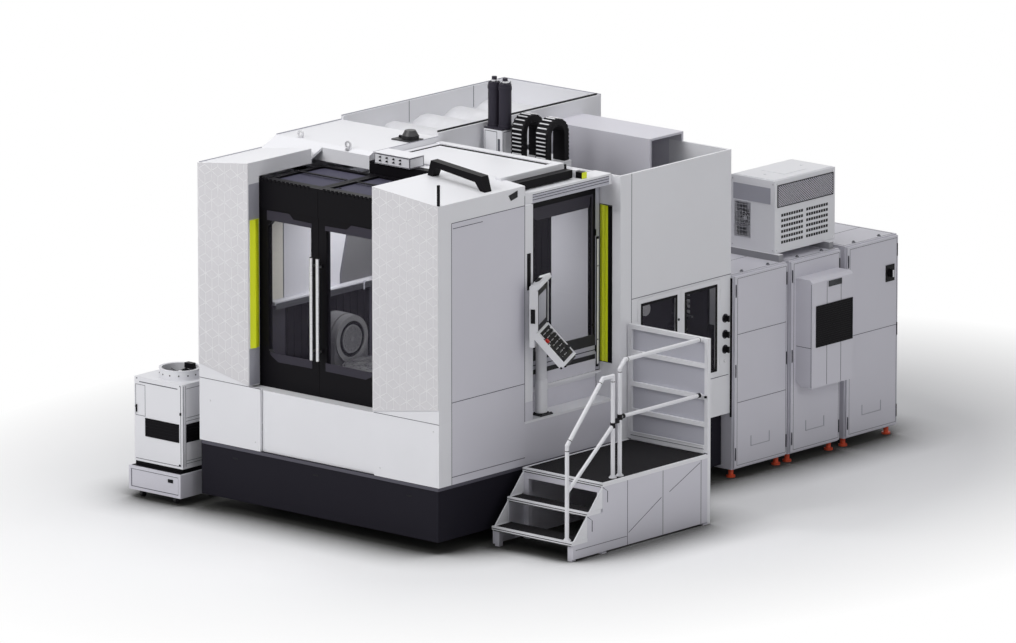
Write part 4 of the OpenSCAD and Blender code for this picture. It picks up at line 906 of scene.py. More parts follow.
def magazine_fittings():
    """Gaskets, latch, knob grips, button, hook, the tools in the wheel, and behind the panes a dark sheet and
    stile of painted shade with painted highlights.
    """
    face = MAGAZINE[1].x
    for end in ("front", "rear"):
        body = "magazine_door_" + end
        y = inset(extent("magazine_pane_" + end, "y"), -GASKET_W / 2)
        gasket = Shape().frame_x(on(face, 0.003), y, inset(PANE_Z, -GASKET_W / 2), GASKET_W)
        gasket.piece(body + "_gasket", "black", body, 0.0008)
    latch = Shape().box(on(face, 0.004), about(LATCH_Y, 0.014), (1.40, 1.50))
    latch.box(on(face + 0.004, 0.008), about(LATCH_Y, 0.008), (1.41, 1.47))
    latch.stud((face, LATCH_Y, 1.62), (0.006, 0, 0), 0.012)
    latch.piece("magazine_latch", "plastic", "magazine_door_front", 0.001)

    collars = Shape()
    for name in ("upper", "middle", "lower"):
        low, high = span("knob_" + name)
        z = (low.z + high.z) / 2
        collars.ring((face, KNOB_Y, z), (1, 0, 0), 0.041, 0.0315, 0.004)
        slabs("grip_" + name, "plastic", (on(high.x, 0.012), about(KNOB_Y, 0.008), about(z, 0.029)),
              (on(high.x + 0.012, 0.001), about(KNOB_Y, 0.002), (z + 0.008, z + 0.026)),
              body="knob_" + name, bevel=0.002)
    collars.piece("knob_collars", "charcoal")
    button = Shape().ring((face, KNOB_Y, BUTTON_Z), (1, 0, 0), 0.019, 0.0135, 0.006)
    button.stud((face, KNOB_Y, BUTTON_Z), (0.010, 0, 0), 0.0125, 20, 0.010)
    button.piece("push_button", "steel")
    slabs("cover_hook", "charcoal", (on(face, 0.008), (3.488, 3.498), (0.90, 0.965)),
          (on(face, 0.008), (3.498, 3.52), (0.953, 0.965)), bevel=0.001)

    tools = Shape()
    end = span("magazine_wheel")[1].x
    for k, (y, z) in enumerate(around(POT_COUNT, POT_RADIUS, WHEEL_MID)):
        tools.stud((end, y, z), (0.014, 0, 0), 0.031)
        tools.stud((end + 0.014, y, z), (0.016, 0, 0), 0.022)
        tools.stud((end + 0.03, y, z), (0.02 + 0.03 * (k % 3), 0, 0), 0.013, 14, 0.010)
    tools.piece("tool_shanks", "ground", "magazine_wheel")

    edge = MAGAZINE[1].y
    slabs("cabinet_joint", "black", (on(face, 0.0195), (edge - 0.007, edge - 0.0005), (0.58, 1.88)))
    rear = edge - 0.025
    # The rear sheet and stile are painted shade that keeps the magazine's inside dark.
    slabs("magazine_rear_sheet", "charcoal", ((-0.62, -0.17), on(rear, -0.005), REAR_Z))
    slabs("magazine_rear_stile", "black", ((-0.17, -0.15), on(rear, -0.012), REAR_Z),
          ((-0.15, 0.05), on(rear, -0.006), (0.95, 1.42)))
    # The white marks are painted highlights standing in for the lit tool pockets.
    slabs("magazine_status_lights", "white",
          *(((-0.41, -0.38), (rear - 0.009, rear - 0.005), on(z, 0.028)) for z in HIGHLIGHT_Z), bevel=0.001)


# Pendant

CONSOLE = "pendant_console"
PIVOT = (-0.080, 1.490)
PIVOT_LOCAL = (-0.005, 0.19)
CONSOLE_TURN = math.radians(29)
CONSOLE_FACE = 0.040
CONSOLE_HALF = 0.235
KEY_TOP = 1.86
KEY_RUN = 0.26
KEY_DROP = 0.28
KEY_LENGTH = math.hypot(KEY_RUN, KEY_DROP)
STOP_PLACE = (0.3 * KEY_LENGTH, -0.185)
KEY_ROWS = 7
KEY_COLUMNS = 9
DIALS = ((0.285, 0.12), (0.285, 0.185), (0.265, -0.18), (0.325, -0.18))
POST_FOOT_Z = (1.034, 1.042)
POST_BOLTS = ((-0.13, 1.425), (-0.13, 1.555), (-0.02, 1.425), (-0.02, 1.555))


def console_at(x, y, z):
    """Console coordinates, with X towards the operator and Y across, to the row frame."""
    u = x - PIVOT_LOCAL[0]
    v = y - PIVOT_LOCAL[1]
    cos_t = math.cos(CONSOLE_TURN)
    sin_t = math.sin(CONSOLE_TURN)
    return at(PIVOT[0] + u * cos_t - v * sin_t, PIVOT[1] + u * sin_t + v * cos_t, z)


def key_at(s, y, n):
    """Place on the key panel: s down its slope, y across and n out of it."""
    down = (KEY_RUN / KEY_LENGTH, -KEY_DROP / KEY_LENGTH)
    return console_at(CONSOLE_FACE + s * down[0] - n * down[1], y, KEY_TOP + s * down[1] + n * down[0])


def both_sides(near, far):
    """Limits on the left and on the right, given by their distances from the middle."""
    return (-far, -near), (near, far)


def oblong(radius, half, sides=32):
    """Outline of the pendant's post about its pivot."""
    ring = []
    for i in range(sides):
        angle = math.tau * (i + 0.5) / sides
        shift = half if math.sin(angle) > 0 else -half
        ring.append((PIVOT[0] + radius * math.cos(angle), PIVOT[1] + radius * math.sin(angle) + shift))
    return ring


def pendant_screen():
    """Bezel, display, keys under it and the pale side rails."""
    face = CONSOLE_FACE
    bezel = Shape(console_at).frame_x(on(face, 0.007), about(0, 0.222), (1.872, 2.238), 0.048)
    bezel.boxes((on(face, 0.002), about(0, 0.174), SCREEN_Z),
                ((-0.012, 0.028), on(-CONSOLE_HALF, -0.005), (1.95, 2.08)),
                ((-0.004, 0.020), on(-CONSOLE_HALF - 0.005, -0.007), (1.97, 2.06)),
                ((-0.008, 0.034), about(0, 0.07), (2.286, 2.306)))
    bezel.piece("screen_bezel", "plastic", CONSOLE, 0.001)
    slabs("screen_glass", "display", (on(face + 0.002, 0.002), about(0, 0.172), inset(SCREEN_Z, 0.002)),
          body=CONSOLE, bevel=0.0005, place=console_at)
    slabs("screen_keys", "charcoal",
          *((on(face + 0.007, 0.003), on(-0.19 + 0.0385 * k, 0.026), (1.884, 1.906)) for k in range(10)),
          body=CONSOLE, bevel=0.001, place=console_at)
    slabs("screen_rails", "white",
          *((on(face, 0.012), y, (1.875, 2.245)) for y in both_sides(CONSOLE_HALF - 0.013, CONSOLE_HALF)),
          body=CONSOLE, bevel=0.002, place=console_at)


def pendant_keys():
    """Key panel with its keys, dials and rails, and the post's sleeve and foot."""
    plate = Shape(key_at).boxes(((0.022, 0.352), (-0.148, 0.212), (0.0, 0.003)),
                                ((0.165, 0.352), (-0.212, -0.148), (0.0, 0.003)))
    plate.ring((*STOP_PLACE, 0.0), (0, 0, 1), 0.034, 0.023, 0.004)
    plate.bar((0.39, -0.19, -0.014), (0.39, 0.19, -0.014), 0.010)
    for holder, end in zip(both_sides(0.188, 0.206), both_sides(0.222, 0.238)):
        plate.boxes(((0.366, 0.398), holder, (-0.024, -0.004)), ((0.366, 0.386), end, (-0.052, -0.034)))
    plate.piece("key_plate", "plastic", CONSOLE, 0.001)

    keys = Shape(key_at)
    marks = Shape(key_at)
    for row in range(KEY_ROWS):
        s = 0.042 + 0.043 * row
        for col in range(KEY_COLUMNS):
            if row > 4 and col > 5:
                continue
            y = -0.135 + 0.0375 * col
            keys.box(on(s, 0.026), on(y, 0.027), (0.003, 0.008))
            if (row * 5 + col * 3) % 4 != 1:
                length = 0.010 + 0.005 * ((row + col) % 3)
                marks.box((s + 0.007, s + 0.016), on(y + 0.003, length), (0.008, 0.0086))
    keys.piece("console_keys", "black", CONSOLE, 0.0015)
    for s in (0.045, 0.088):
        marks.box(on(s, 0.021), (0.165, 0.2), (0.008, 0.010))
    marks.piece("key_caps", "white", CONSOLE)

    dials = Shape(key_at)
    for s, y in DIALS:
        dials.stud((s, y, 0.003), (0, 0, 0.007), 0.024)
        dials.stud((s, y, 0.010), (0, 0, 0.014), 0.018, 20, 0.014)
        dials.box((s - 0.016, s + 0.002), about(y, 0.002), (0.024, 0.026))
    dials.piece("console_dials", "rubber", CONSOLE, 0.001)
    rails = [((0.004, KEY_LENGTH), y, (0.0, 0.009)) for y in both_sides(CONSOLE_HALF - 0.018, CONSOLE_HALF)]
    slabs("key_rails", "white", *rails, ((0.362, KEY_LENGTH), about(0, 0.217), (0.0, 0.009)),
          body=CONSOLE, bevel=0.002, place=key_at)

    sleeve = Shape().tower(oblong(0.0455, 0.015), (1.04, 1.335)).tower(oblong(0.044, 0.015), (1.335, 1.345))
    sleeve.piece("post_sleeve", "white", bevel=0.002)
    foot = Shape().tower(oblong(0.055, 0.02), POST_FOOT_Z)
    for place in POST_BOLTS:
        foot.bar((*place, POST_FOOT_Z[0]), (*place, POST_FOOT_Z[1]), 0.008, 6)
    foot.piece("post_foot", "rubber")


# Working room

TABLE_MID = mid_of("rotary_table").xy
TILT_Z = 1.54
SPINDLE_MID = mid_of("spindle").xz
ARM_FACE = 0.44
DISC_T = 0.010
WALL_Z = (1.955, 2.94)
CURTAIN_Z = (1.02, 1.86)
SLANT_Y = 1.218
SLANT_Z = 2.05
SLANT_LEAN = 0.229


def room_walls():
    """Work lamp, wall joints and the sheets and curtain on the walls of the working room."""
    low, high = span("interior_liner")
    rear = high.y - 0.023
    wall = low.x + 0.02
    front = low.y + 0.01
    slabs("work_lamp", "lamp", ((-1.95, -0.62), on(rear, -0.024), (2.905, 2.945)),
          *((on(x, 0.015), on(rear, -0.03), (2.898, 2.952)) for x in (-1.965, -0.62)), bevel=0.003)
    slabs("wall_joints", "seam", (on(wall, 0.005), (0.43, 0.442), WALL_Z),
          *((seam(x), on(rear, -SEAM_T), (1.93, 2.88)) for x in (-2.02, -1.86)))
    slabs("rear_wall_sheet", "wall", ((-0.738, high.x - 0.002), on(rear, -0.003), (1.30, LEDGE_Z + 0.01)))
    slabs("front_wall_strip", "cream", (on(wall, 0.004), (front, 0.43), WALL_Z), bevel=0.001)
    back = rear - 0.004
    slant = Shape().side_prism([(SLANT_Y, WALL_Z[0]), (back, WALL_Z[0]), (back, WALL_Z[1]),
                                (SLANT_Y + SLANT_LEAN, WALL_Z[1]), (SLANT_Y, SLANT_Z)], on(wall, 0.004))
    slant.piece("slanted_wall_sheet", "cast", bevel=0.001)
    edge = Shape()
    for start, end, lean in ((WALL_Z[0], SLANT_Z, 0.0), (SLANT_Z, WALL_Z[1], SLANT_LEAN)):
        edge.side_prism([(SLANT_Y - 0.018, start), (SLANT_Y, start), (SLANT_Y + lean, end),
                         (SLANT_Y - 0.018 + lean, end)], on(wall, 0.006))
    edge.piece("slanted_wall_edge", "seam")
    slabs("wall_ledge_apron", "iron", (on(wall + 0.07, 0.002), (front, back), (1.88, 1.935)))
    slabs("wall_ledge_clip", "dusk", (on(wall + 0.072, 0.006), (1.44, 1.455), (1.87, 1.95)), bevel=0.001)
    slabs("wall_curtain", "black", (on(wall, 0.003), (0.46, 1.60), CURTAIN_Z),
          *((on(wall + 0.003, 0.009), on(0.48 + 0.095 * k, 0.02), CURTAIN_Z) for k in range(12)), bevel=0.001)


def trunnion(side, s):
    """Gap, hoop and bolted ring at one end of the cradle."""
    face = TABLE_MID[0] + s * ARM_FACE
    disc = face - s * DISC_T
    middle = (TABLE_MID[1], TILT_Z)
    inward = (-s, 0, 0)
    gap = Shape().ring((face, *middle), inward, 0.166, 0.1305, 0.004, 56)
    gap.piece("trunnion_gap_" + side, "black", "cradle")
    hoop = Shape().ring((face, *middle), inward, 0.215, 0.166, 0.012, 56)
    hoop.piece("trunnion_hoop_" + side, "cast_pale", "cradle")
    rings = Shape().ring((disc, *middle), inward, 0.128, 0.116, 0.004, 48)
    for place in around(12, 0.098, middle):
        rings.stud((disc, *place), (-s * 0.007, 0, 0), 0.009, 6)
    rings.stud((disc, *middle), (-s * 0.004, 0, 0), 0.022)
    rings.piece("trunnion_ring_" + side, "cast_pale", "cradle")


def table_and_spindle():
    """Table rings, spindle nose and coolant nozzles."""
    grooves = Shape()
    for outer in (0.395, 0.205, 0.052):
        grooves.ring((*TABLE_MID, span("rotary_table")[1].z), (0, 0, 1), outer, outer - 0.006, 0.0008, 72)
    grooves.piece("table_rings", "iron", "rotary_table")

    nose = span("spindle")[0].y
    x, z = SPINDLE_MID
    keys = Shape()
    for low, high in both_sides(0.036, 0.064):
        keys.box(about(x, 0.012), (nose - 0.010, nose + 0.004), (z + low, z + high))
    keys.ring((x, nose, z), (0, -1, 0), 0.068, 0.052, 0.002)
    keys.piece("drive_keys", "steel", "spindle")

    head = span("spindle_head")[0].y + 0.02
    nozzles = Shape()
    for u, v in ((-0.15, 0.15), (0.15, 0.15), (-0.15, -0.15), (0.15, -0.15)):
        nozzles.stud((x + u, head, z + v), (0, -0.02, 0), 0.016, 6)
        nozzles.bar((x + u, head - 0.02, z + v), (x + u * 0.8, head - 0.09, z + v * 0.8), 0.010, 14, 0.005)
    nozzles.ring((x, head - 0.02, z), (0, -1, 0), 0.135, 0.112, 0.004)
    nozzles.piece("coolant_nozzles", "steel", "spindle_head")


# Column top above the roof

CYLINDER_R = 0.058
CYLINDER_X = inset(extent("counterbalance", "x"), CYLINDER_R)
CYLINDER_Y = mid_of("counterbalance").y
TOP_BOX_X = (-1.65, -1.43)
TOP_BOX_Z = (3.03, 3.255)
CHAIN_W = 0.14
CHAIN_ENDS = extent("cable_chain", "x")
CHAIN_X = (on(CHAIN_ENDS[0], CHAIN_W), on(CHAIN_ENDS[1], -CHAIN_W))
CHAIN_R = 0.12
CHAIN_T = 0.056
CHAIN_LEG = 0.25
CHAIN_RIB = 0.006
CHAIN_LINKS = 24
CHAIN_BEND = math.pi * CHAIN_R


def chain_place(s):
    """Depth and height on the outside of the chain's arch, at the distance s along it."""
    low, high = span("cable_chain")
    mid = (low.y + high.y) / 2
    reach = CHAIN_R + CHAIN_T / 2 + CHAIN_RIB
    if s < CHAIN_LEG:
        return mid - reach, low.z + s
    if s > CHAIN_LEG + CHAIN_BEND:
        return mid + reach, low.z + 2 * CHAIN_LEG + CHAIN_BEND - s
    angle = math.pi * (1 - (s - CHAIN_LEG) / CHAIN_BEND)
    return mid + reach * math.cos(angle), low.z + CHAIN_LEG + reach * math.sin(angle)


def column_top():
    """Cylinder heads, top box outlines and the cross bars of the cable chains."""
    low, high = span("counterbalance")
    rim = high.z - 0.06
    up = (0, 0, 1)
    heads = Shape()
    glands = Shape()
    for x in CYLINDER_X:
        middle = (x, CYLINDER_Y)
        heads.ring((*middle, low.z + 0.014), up, CYLINDER_R + 0.006, CYLINDER_R, 0.022)
        heads.ring((*middle, rim - 0.05), up, CYLINDER_R + 0.004, CYLINDER_R, 0.03)
        heads.ring((*middle, rim), up, CYLINDER_R - 0.004, 0.0245, 0.010)
        for place in around(6, 0.042, middle):
            heads.stud((*place, rim + 0.010), (0, 0, 0.006), 0.006, 6)
        glands.ring((*middle, rim + 0.018), up, 0.030, 0.0242, 0.016)
    glands.stud((CYLINDER_X[1] + 0.02, CYLINDER_Y + 0.055, rim), (0, 0, 0.03), 0.010)
    heads.piece("cylinder_heads", "charcoal", "column")
    glands.piece("cylinder_glands", "steel", "column")

    front = low.y
    left, right = TOP_BOX_X
    panel = Shape().frame_y((left + 0.012, right - 0.06), on(front, -SEAM_T), TOP_BOX_Z, 0.005)
    panel.box((right - 0.05, right - 0.025), on(front, -0.003), (3.06, 3.19))
    panel.frame_x(on(right, SEAM_T), (front + 0.02, front + 0.17), TOP_BOX_Z, 0.005)
    panel.piece("top_box_panels", "seam", "column")

    bars = Shape()
    for x in CHAIN_X:
        for s in shares((0.0, 2 * CHAIN_LEG + CHAIN_BEND), CHAIN_LINKS):
            place = chain_place(s)
            bars.bar((x[0] + 0.016, *place), (x[1] - 0.016, *place), 0.007, 10)
    bars.piece("chain_bars", "steel", "column")


# Cabinets

CABINET_FACE = 0.125
CABINET_Z = extent("cabinet_door_1", "z")
CABINETS = (
    ("cabinet_door_1", (3.958, 4.707), (4.19, 4.46), (1.35, 0.71)),
    ("cabinet_door_2", (4.766, 5.472), (4.98, 5.25), ()),
    ("cabinet_door_3", (5.578, 6.317), (5.80, 6.08), (1.05,)),
)
POCKET_Z = (0.27, 0.37)
HINGE_Z = (0.17, 0.95, 1.70)
HINGE_L = 0.12
COOLER_Y = (4.83, 5.42)
COOLER_FACE = 0.32
GRILLE_Y = (4.885, 5.415)
GRILLE_Z = (1.10, 1.49)
DISPLAY_Y = (5.065, 5.255)
DISPLAY_Z = (1.645, 1.70)


def cabinet_door_lines(body, y, pocket, heights):
    """Panel joints, folded edge, hinge leaves, and the painted shadow round the embossed lifting pocket of
    one cabinet door.
    """
    face = on(CABINET_FACE, SEAM_T)
    lines = Shape().frame_x(face, (y[0] + 0.035, y[1] - 0.014), inset(CABINET_Z, 0.02), 0.0035)
    for z in heights:
        lines.box(face, (y[0] + 0.04, y[1] - 0.018), about(z, 0.0025))
    lines.piece(body + "_lines", "seam", body)

    leaf = on(CABINET_FACE, 0.005)
    hinges = Shape()
    for z in HINGE_Z:
        for side in ((y[0] + 0.008, y[0] + 0.019), (y[1] - 0.014, y[1] - 0.004)):
            hinges.box(leaf, side, on(z, HINGE_L))
        hinges.stud((leaf[1], y[0] + 0.0135, z + 0.01), (0, 0, HINGE_L - 0.02), 0.004, 12)
    hinges.piece(body + "_hinges", "charcoal", body, 0.001)

    low, high = pocket
    deep = on(CABINET_FACE, 0.004)
    # The pocket's dark U is painted shadow along the embossed pocket's edges.
    slabs(body + "_pocket", "dusk", (deep, on(low, 0.008), POCKET_Z), (deep, on(high, -0.008), POCKET_Z),
          (deep, (low + 0.008, high - 0.008), on(POCKET_Z[0], 0.008)), body=body, bevel=0.001)


def cooler():
    """Grille, display and joints of the cooling unit on the middle door."""
    body = "cabinet_door_2"
    y = inset(GRILLE_Y, 0.012)
    grille = Shape().frame_x(on(COOLER_FACE, 0.006), GRILLE_Y, GRILLE_Z, 0.012)
    grille.box(on(COOLER_FACE, 0.002), y, inset(GRILLE_Z, 0.012))
    for k in range(18):
        grille.box(on(COOLER_FACE + 0.002, 0.003), y, on(GRILLE_Z[0] + 0.016 + 0.0202 * k, 0.009))
    grille.piece("cooler_grille", "black", body)

    panel = Shape().frame_x(on(COOLER_FACE, 0.005), DISPLAY_Y, DISPLAY_Z, 0.008)
    panel.box(on(COOLER_FACE, 0.002), inset(DISPLAY_Y, 0.008), inset(DISPLAY_Z, 0.008))
    for k in range(4):
        panel.box(on(COOLER_FACE + 0.002, 0.002), on(5.17 + 0.018 * k, 0.012), (1.664, 1.680))
    panel.piece("cooler_display", "screen", body, 0.0005)

    face = on(COOLER_FACE, SEAM_T)
    seams = Shape()
    for y, end in ((5.045, 1.70), (5.248, 1.645)):
        seams.boxes((face, about(y, 0.0025), (0.73, 1.10)), (face, about(y, 0.0025), (1.49, end)))
    near = on(COOLER_Y[0], -SEAM_T)
    for side in (near, on(COOLER_Y[1], SEAM_T)):
        seams.box((CABINET_FACE + 0.01, COOLER_FACE - 0.004), side, (1.098, 1.103))
    seams.box((COOLER_FACE - 0.012, COOLER_FACE - 0.008), near, (0.73, 1.70))
    seams.piece("cooler_joints", "seam", body)


def cabinet_tops():
    """Isolator plate, and the cabinets' roof joints, bolts and rear vents."""
    low, high = span("isolator_handle")
    mid = (low + high) / 2
    deep = on(CABINET_FACE, 0.007)
    plate = Shape().frame_x(deep, about(mid.y, 0.062), about(mid.z, 0.078), 0.022)
    for start, end in both_sides(0.04, 0.056):
        plate.box(deep, about(mid.y, 0.04), (mid.z + start, mid.z + end))
    plate.ring((CABINET_FACE, mid.y, mid.z), (1, 0, 0), 0.056, 0.040, 0.006)
    plate.piece("isolator_plate", "plastic", "cabinet_door_3")
    slabs("isolator_pointer", "white", (on(high.x, 0.002), about(mid.y, 0.010), about(mid.z, 0.033)),
          body="isolator_handle", bevel=0.0005)

    low, high = span("cabinet_bodies")
    top = high.z
    back = low.x
    seams = Shape()
    bolts = Shape()
    rear = Shape()
    for _, y, _, _ in CABINETS:
        for x in (0.075, -0.32, back + 0.03):
            seams.box(about(x, 0.002), inset(y, 0.01), on(top, SEAM_T))
        for v in inset(y, 0.02):
            seams.box((back + 0.03, 0.075), about(v, 0.002), on(top, SEAM_T))
        for v in shares(y, 2):
            for x in (0.045, back + 0.06):
                bolts.stud((x, v, top), (0, 0, 0.006), 0.018)
                bolts.stud((x, v, top + 0.006), (0, 0, 0.010), 0.011, 6)
        rear.frame_x(on(back, -SEAM_T), inset(y, 0.04), (0.2, 1.80), 0.004)
        for k in range(8):
            rear.box(on(back, -0.004), inset(y, 0.18), on(0.32 + 0.03 * k, 0.012))
    seams.piece("cabinet_top_joints", "seam")
    bolts.piece("cabinet_bolts", "iron")
    rear.piece("cabinet_rear_vents", "charcoal")


# Chiller

CHILLER_X = (-0.52, 0.0)
CHILLER_Y = (4.67, 5.54)
CHILLER_Z = (1.97, 2.65)
MESH_Y = (4.715, 5.505)
MESH_Z = (2.405, 2.60)
SLOT_ROWS_Y = ((4.765, 5.085), (5.125, 5.445))
SLOT_ROWS = 6
SLOTS_PER_ROW = 9
FAN_MID = mid_of("chiller_fan").xz
FAN_WINDOW = (0.085, 0.1564)
WIRE = 0.002


def clipped_bars(shape, x, y, z, pitch, width, slope):
    """Slanted bars in a rectangle that faces X, cut off at its edges."""
    corners = [Vector(c) for c in ((y[0], z[0]), (y[1], z[0]), (y[1], z[1]), (y[0], z[1]))]
    run = abs((z[1] - z[0]) / slope)
    low, high = z if slope > 0 else z[::-1]
    for k in range(int((y[1] - y[0] + run) / pitch)):
        start = y[0] - run + pitch * (k + 0.5)
        line = clipped(Vector((start, low)), Vector((start + run, high)), corners)
        if line is not None:
            shape.side_prism(strip(line, width), x)


def chiller():
    """Mesh, slots, wire guard, raised panel, bolts and lid of the chiller."""
    face = CHILLER_X[1]
    back = Shape().frame_x(on(face, 0.006), inset(MESH_Y, -0.008), inset(MESH_Z, -0.008), 0.008)
    back.box(on(face, 0.001), MESH_Y, MESH_Z)
    for row in range(SLOT_ROWS):
        z = on(2.052 + 0.0505 * row, 0.026)
        for start, end in SLOT_ROWS_Y:
            pitch = (end - start) / SLOTS_PER_ROW
            for k in range(SLOTS_PER_ROW):
                back.box(on(face, SEAM_T), on(start + pitch * k, pitch * 0.78), z)
    back.piece("chiller_slots", "rubber")
    mesh = Shape()
    for lift, slope in ((0.001, 0.8), (0.003, -0.8)):
        clipped_bars(mesh, on(face + lift, 0.002), MESH_Y, MESH_Z, 0.028, 0.0045, slope)
    mesh.piece("chiller_mesh", "shade")

    front = CHILLER_Y[0]
    panel = Shape().box((-0.485, -0.055), on(front, -0.002), (2.435, 2.575))
    panel.frame_y((-0.49, -0.05), on(front, -0.004), (2.43, 2.58), 0.006)
    panel.piece("chiller_panel", "dusk", bevel=0.0008)
    x, height = FAN_MID
    window_x = about(x, FAN_WINDOW[0])
    window_z = about(height, FAN_WINDOW[1])
    guard = Shape()
    for radius in (0.078, 0.058, 0.038, 0.018):
        guard.ring((x, front - WIRE, height), (0, -1, 0), radius, radius - 0.004, 0.004, 32)
    guard.frame_y(inset(window_x, -0.012), on(front, -0.004), inset(window_z, -0.012), 0.012)
    for z in shares(window_z, 9):
        guard.box(window_x, on(front, -WIRE), about(z, WIRE))
    for u in shares(window_x, 5):
        guard.box(about(u, WIRE), on(front - WIRE, -WIRE), window_z)
    guard.piece("chiller_guard", "steel")

    bolts = Shape()
    for z in inset(CHILLER_Z, 0.03):
        for u in (-0.50, -0.02):
            bolts.stud((u, front, z), (0, -0.004, 0), 0.008, 6)
        for y in inset(CHILLER_Y, 0.03):
            bolts.stud((face, y, z), (0.004, 0, 0), 0.008, 6)
    bolts.piece("chiller_bolts", "steel")
    top = CHILLER_Z[1]
    lid = Shape().box(inset(CHILLER_X, 0.02), inset(CHILLER_Y, 0.02), on(top, 0.006))
    lid.box((-0.40, -0.12), (4.95, 5.27), on(top + 0.006, 0.004))
    for y in (4.84, 5.37):
        lid.stud((-0.26, y, top + 0.006), (0, 0, 0.006), 0.016)
    lid.piece("chiller_lid", "white", bevel=0.003)


# Platform

TREAD_LOW, TREAD_HIGH = span("platform_treads")
PLATFORM_X = (TREAD_LOW.x, TREAD_HIGH.x)
DECK_Z = TREAD_HIGH.z
DECK_END = TREAD_HIGH.y
STEP_Z = 0.18
TREADS = ((TREAD_LOW.y, 0.82, STEP_Z), (0.82, 1.0, (STEP_Z + DECK_Z) / 2), (1.03, DECK_END, DECK_Z))
TREAD_T = 0.03
NOSE = 0.022
NOSE_T = 0.003
RAIL_X = 0.96
RAIL_R = 0.019
STAIR_RAIL = ((0.634, 1.05), (1.12, 1.573), (1.26, 1.573))
DECK_RAIL = ((1.355, 1.625), (1.425, 1.695))
MID_RAIL_Z = 1.183
STAIR_CLAMP_Z = 1.123
GUARD_POST = 0.04
GUARD_RIB = 0.028
GUARD_SHEETS = ((DECK_Z + 0.005, 0.891), (0.935, 1.141), (1.185, 1.431), (1.475, 1.668))
SKIRT_JOINTS = (1.37, 1.86, 2.39)
CREASES = ((1.385, 0.13, 1.84, 0.37), (1.95, 0.40, 2.375, 0.59))


def tread_frames():
    """Pale nosings round the treads, with a dark line under each front edge, and the gussets under them."""
    left, right = PLATFORM_X
    frames = Shape()
    lines = Shape()
    for front, end, top in TREADS:
        sheet = on(top, NOSE_T)
        edge = (top - TREAD_T, top + NOSE_T)
        run = (front + NOSE, end)
        frames.boxes((PLATFORM_X, on(front, -0.004), edge), (PLATFORM_X, on(front, NOSE), sheet),
                     (on(right, -NOSE), run, sheet), (on(left, NOSE), run, sheet),
                     (on(right, 0.0015), (front - 0.004, end), edge))
        lines.box(PLATFORM_X, (front - 0.0055, front - 0.004), (top - 0.018, top - 0.012))
        lines.box(inset(PLATFORM_X, 0.02), (front - 0.002, front + 0.01), on(top - TREAD_T, -0.008))
    frames.piece("tread_nosings", "white", bevel=0.001)
    lines.piece("tread_lines", "rubber")

    gussets = Shape()
    edges = Shape()
    for (front, _, low), (y, _, top) in zip(TREADS[:2], TREADS[1:]):
        high = top - TREAD_T
        corners = [(front + 0.03, low + NOSE_T), (y, low + NOSE_T), (y, high)]
        gussets.side_prism(corners, on(right - 0.002, -0.012)).side_prism(corners, on(left + 0.002, 0.012))
        edges.side_prism([(y, high), (y + 0.07, high - 0.05), (y + 0.07, low + 0.05), (y + 0.06, low + 0.05),
                          (y + 0.06, high - 0.046), (y, high - 0.008)], on(right, 0.001))
    gussets.piece("step_gussets", "white", bevel=0.001)
    edges.piece("gusset_joints", "seam")


def skirt_lines():
    """Panel joints and painted-shade creases on the platform's outer skirt, and the guard's kick plate and
    painted-shade sheets.
    """
    x = on(PLATFORM_X[1], 0.001)
    slabs("skirt_joints", "seam", *((x, about(y, 0.003), (0.02, DECK_Z - TREAD_T)) for y in SKIRT_JOINTS),
          (x, (0.66, 1.36), (0.098, 0.103)))
    # The dark crease lines are painted shade in the skirt's creases.
    creases = Shape()
    for y, z, end_y, end_z in CREASES:
        creases.side_prism([(y, z - 0.003), (end_y, end_z - 0.003), (end_y, end_z + 0.003),
                            (y, z + 0.003)], x)
    creases.piece("skirt_creases", "strip")

    x = inset(PLATFORM_X, GUARD_POST)
    slabs("kick_plate", "white", (x, on(DECK_END, -0.006), (DECK_Z + 0.006, DECK_Z + 0.075)),
          (x, on(DECK_END, -0.010), on(DECK_Z + 0.075, 0.008)), bevel=0.001)
    # The guard's sheets between the ribs are painted shade: MID plates that stand in for the shade against
    # the lit ribs.
    slabs("guard_sheets", "mid",
          *((inset(x, 0.002), on(DECK_END + GUARD_RIB, -0.002), z) for z in GUARD_SHEETS))
    joints = Shape().box(x, on(DECK_END - 0.006, -0.002), on(DECK_Z + 0.045, 0.005))
    for post in (PLATFORM_X[0], x[1]):
        joints.frame_y(on(post, GUARD_POST), on(DECK_END, -SEAM_T), on(DECK_Z + 0.004, 0.008), 0.004)
    joints.piece("kick_joints", "seam")


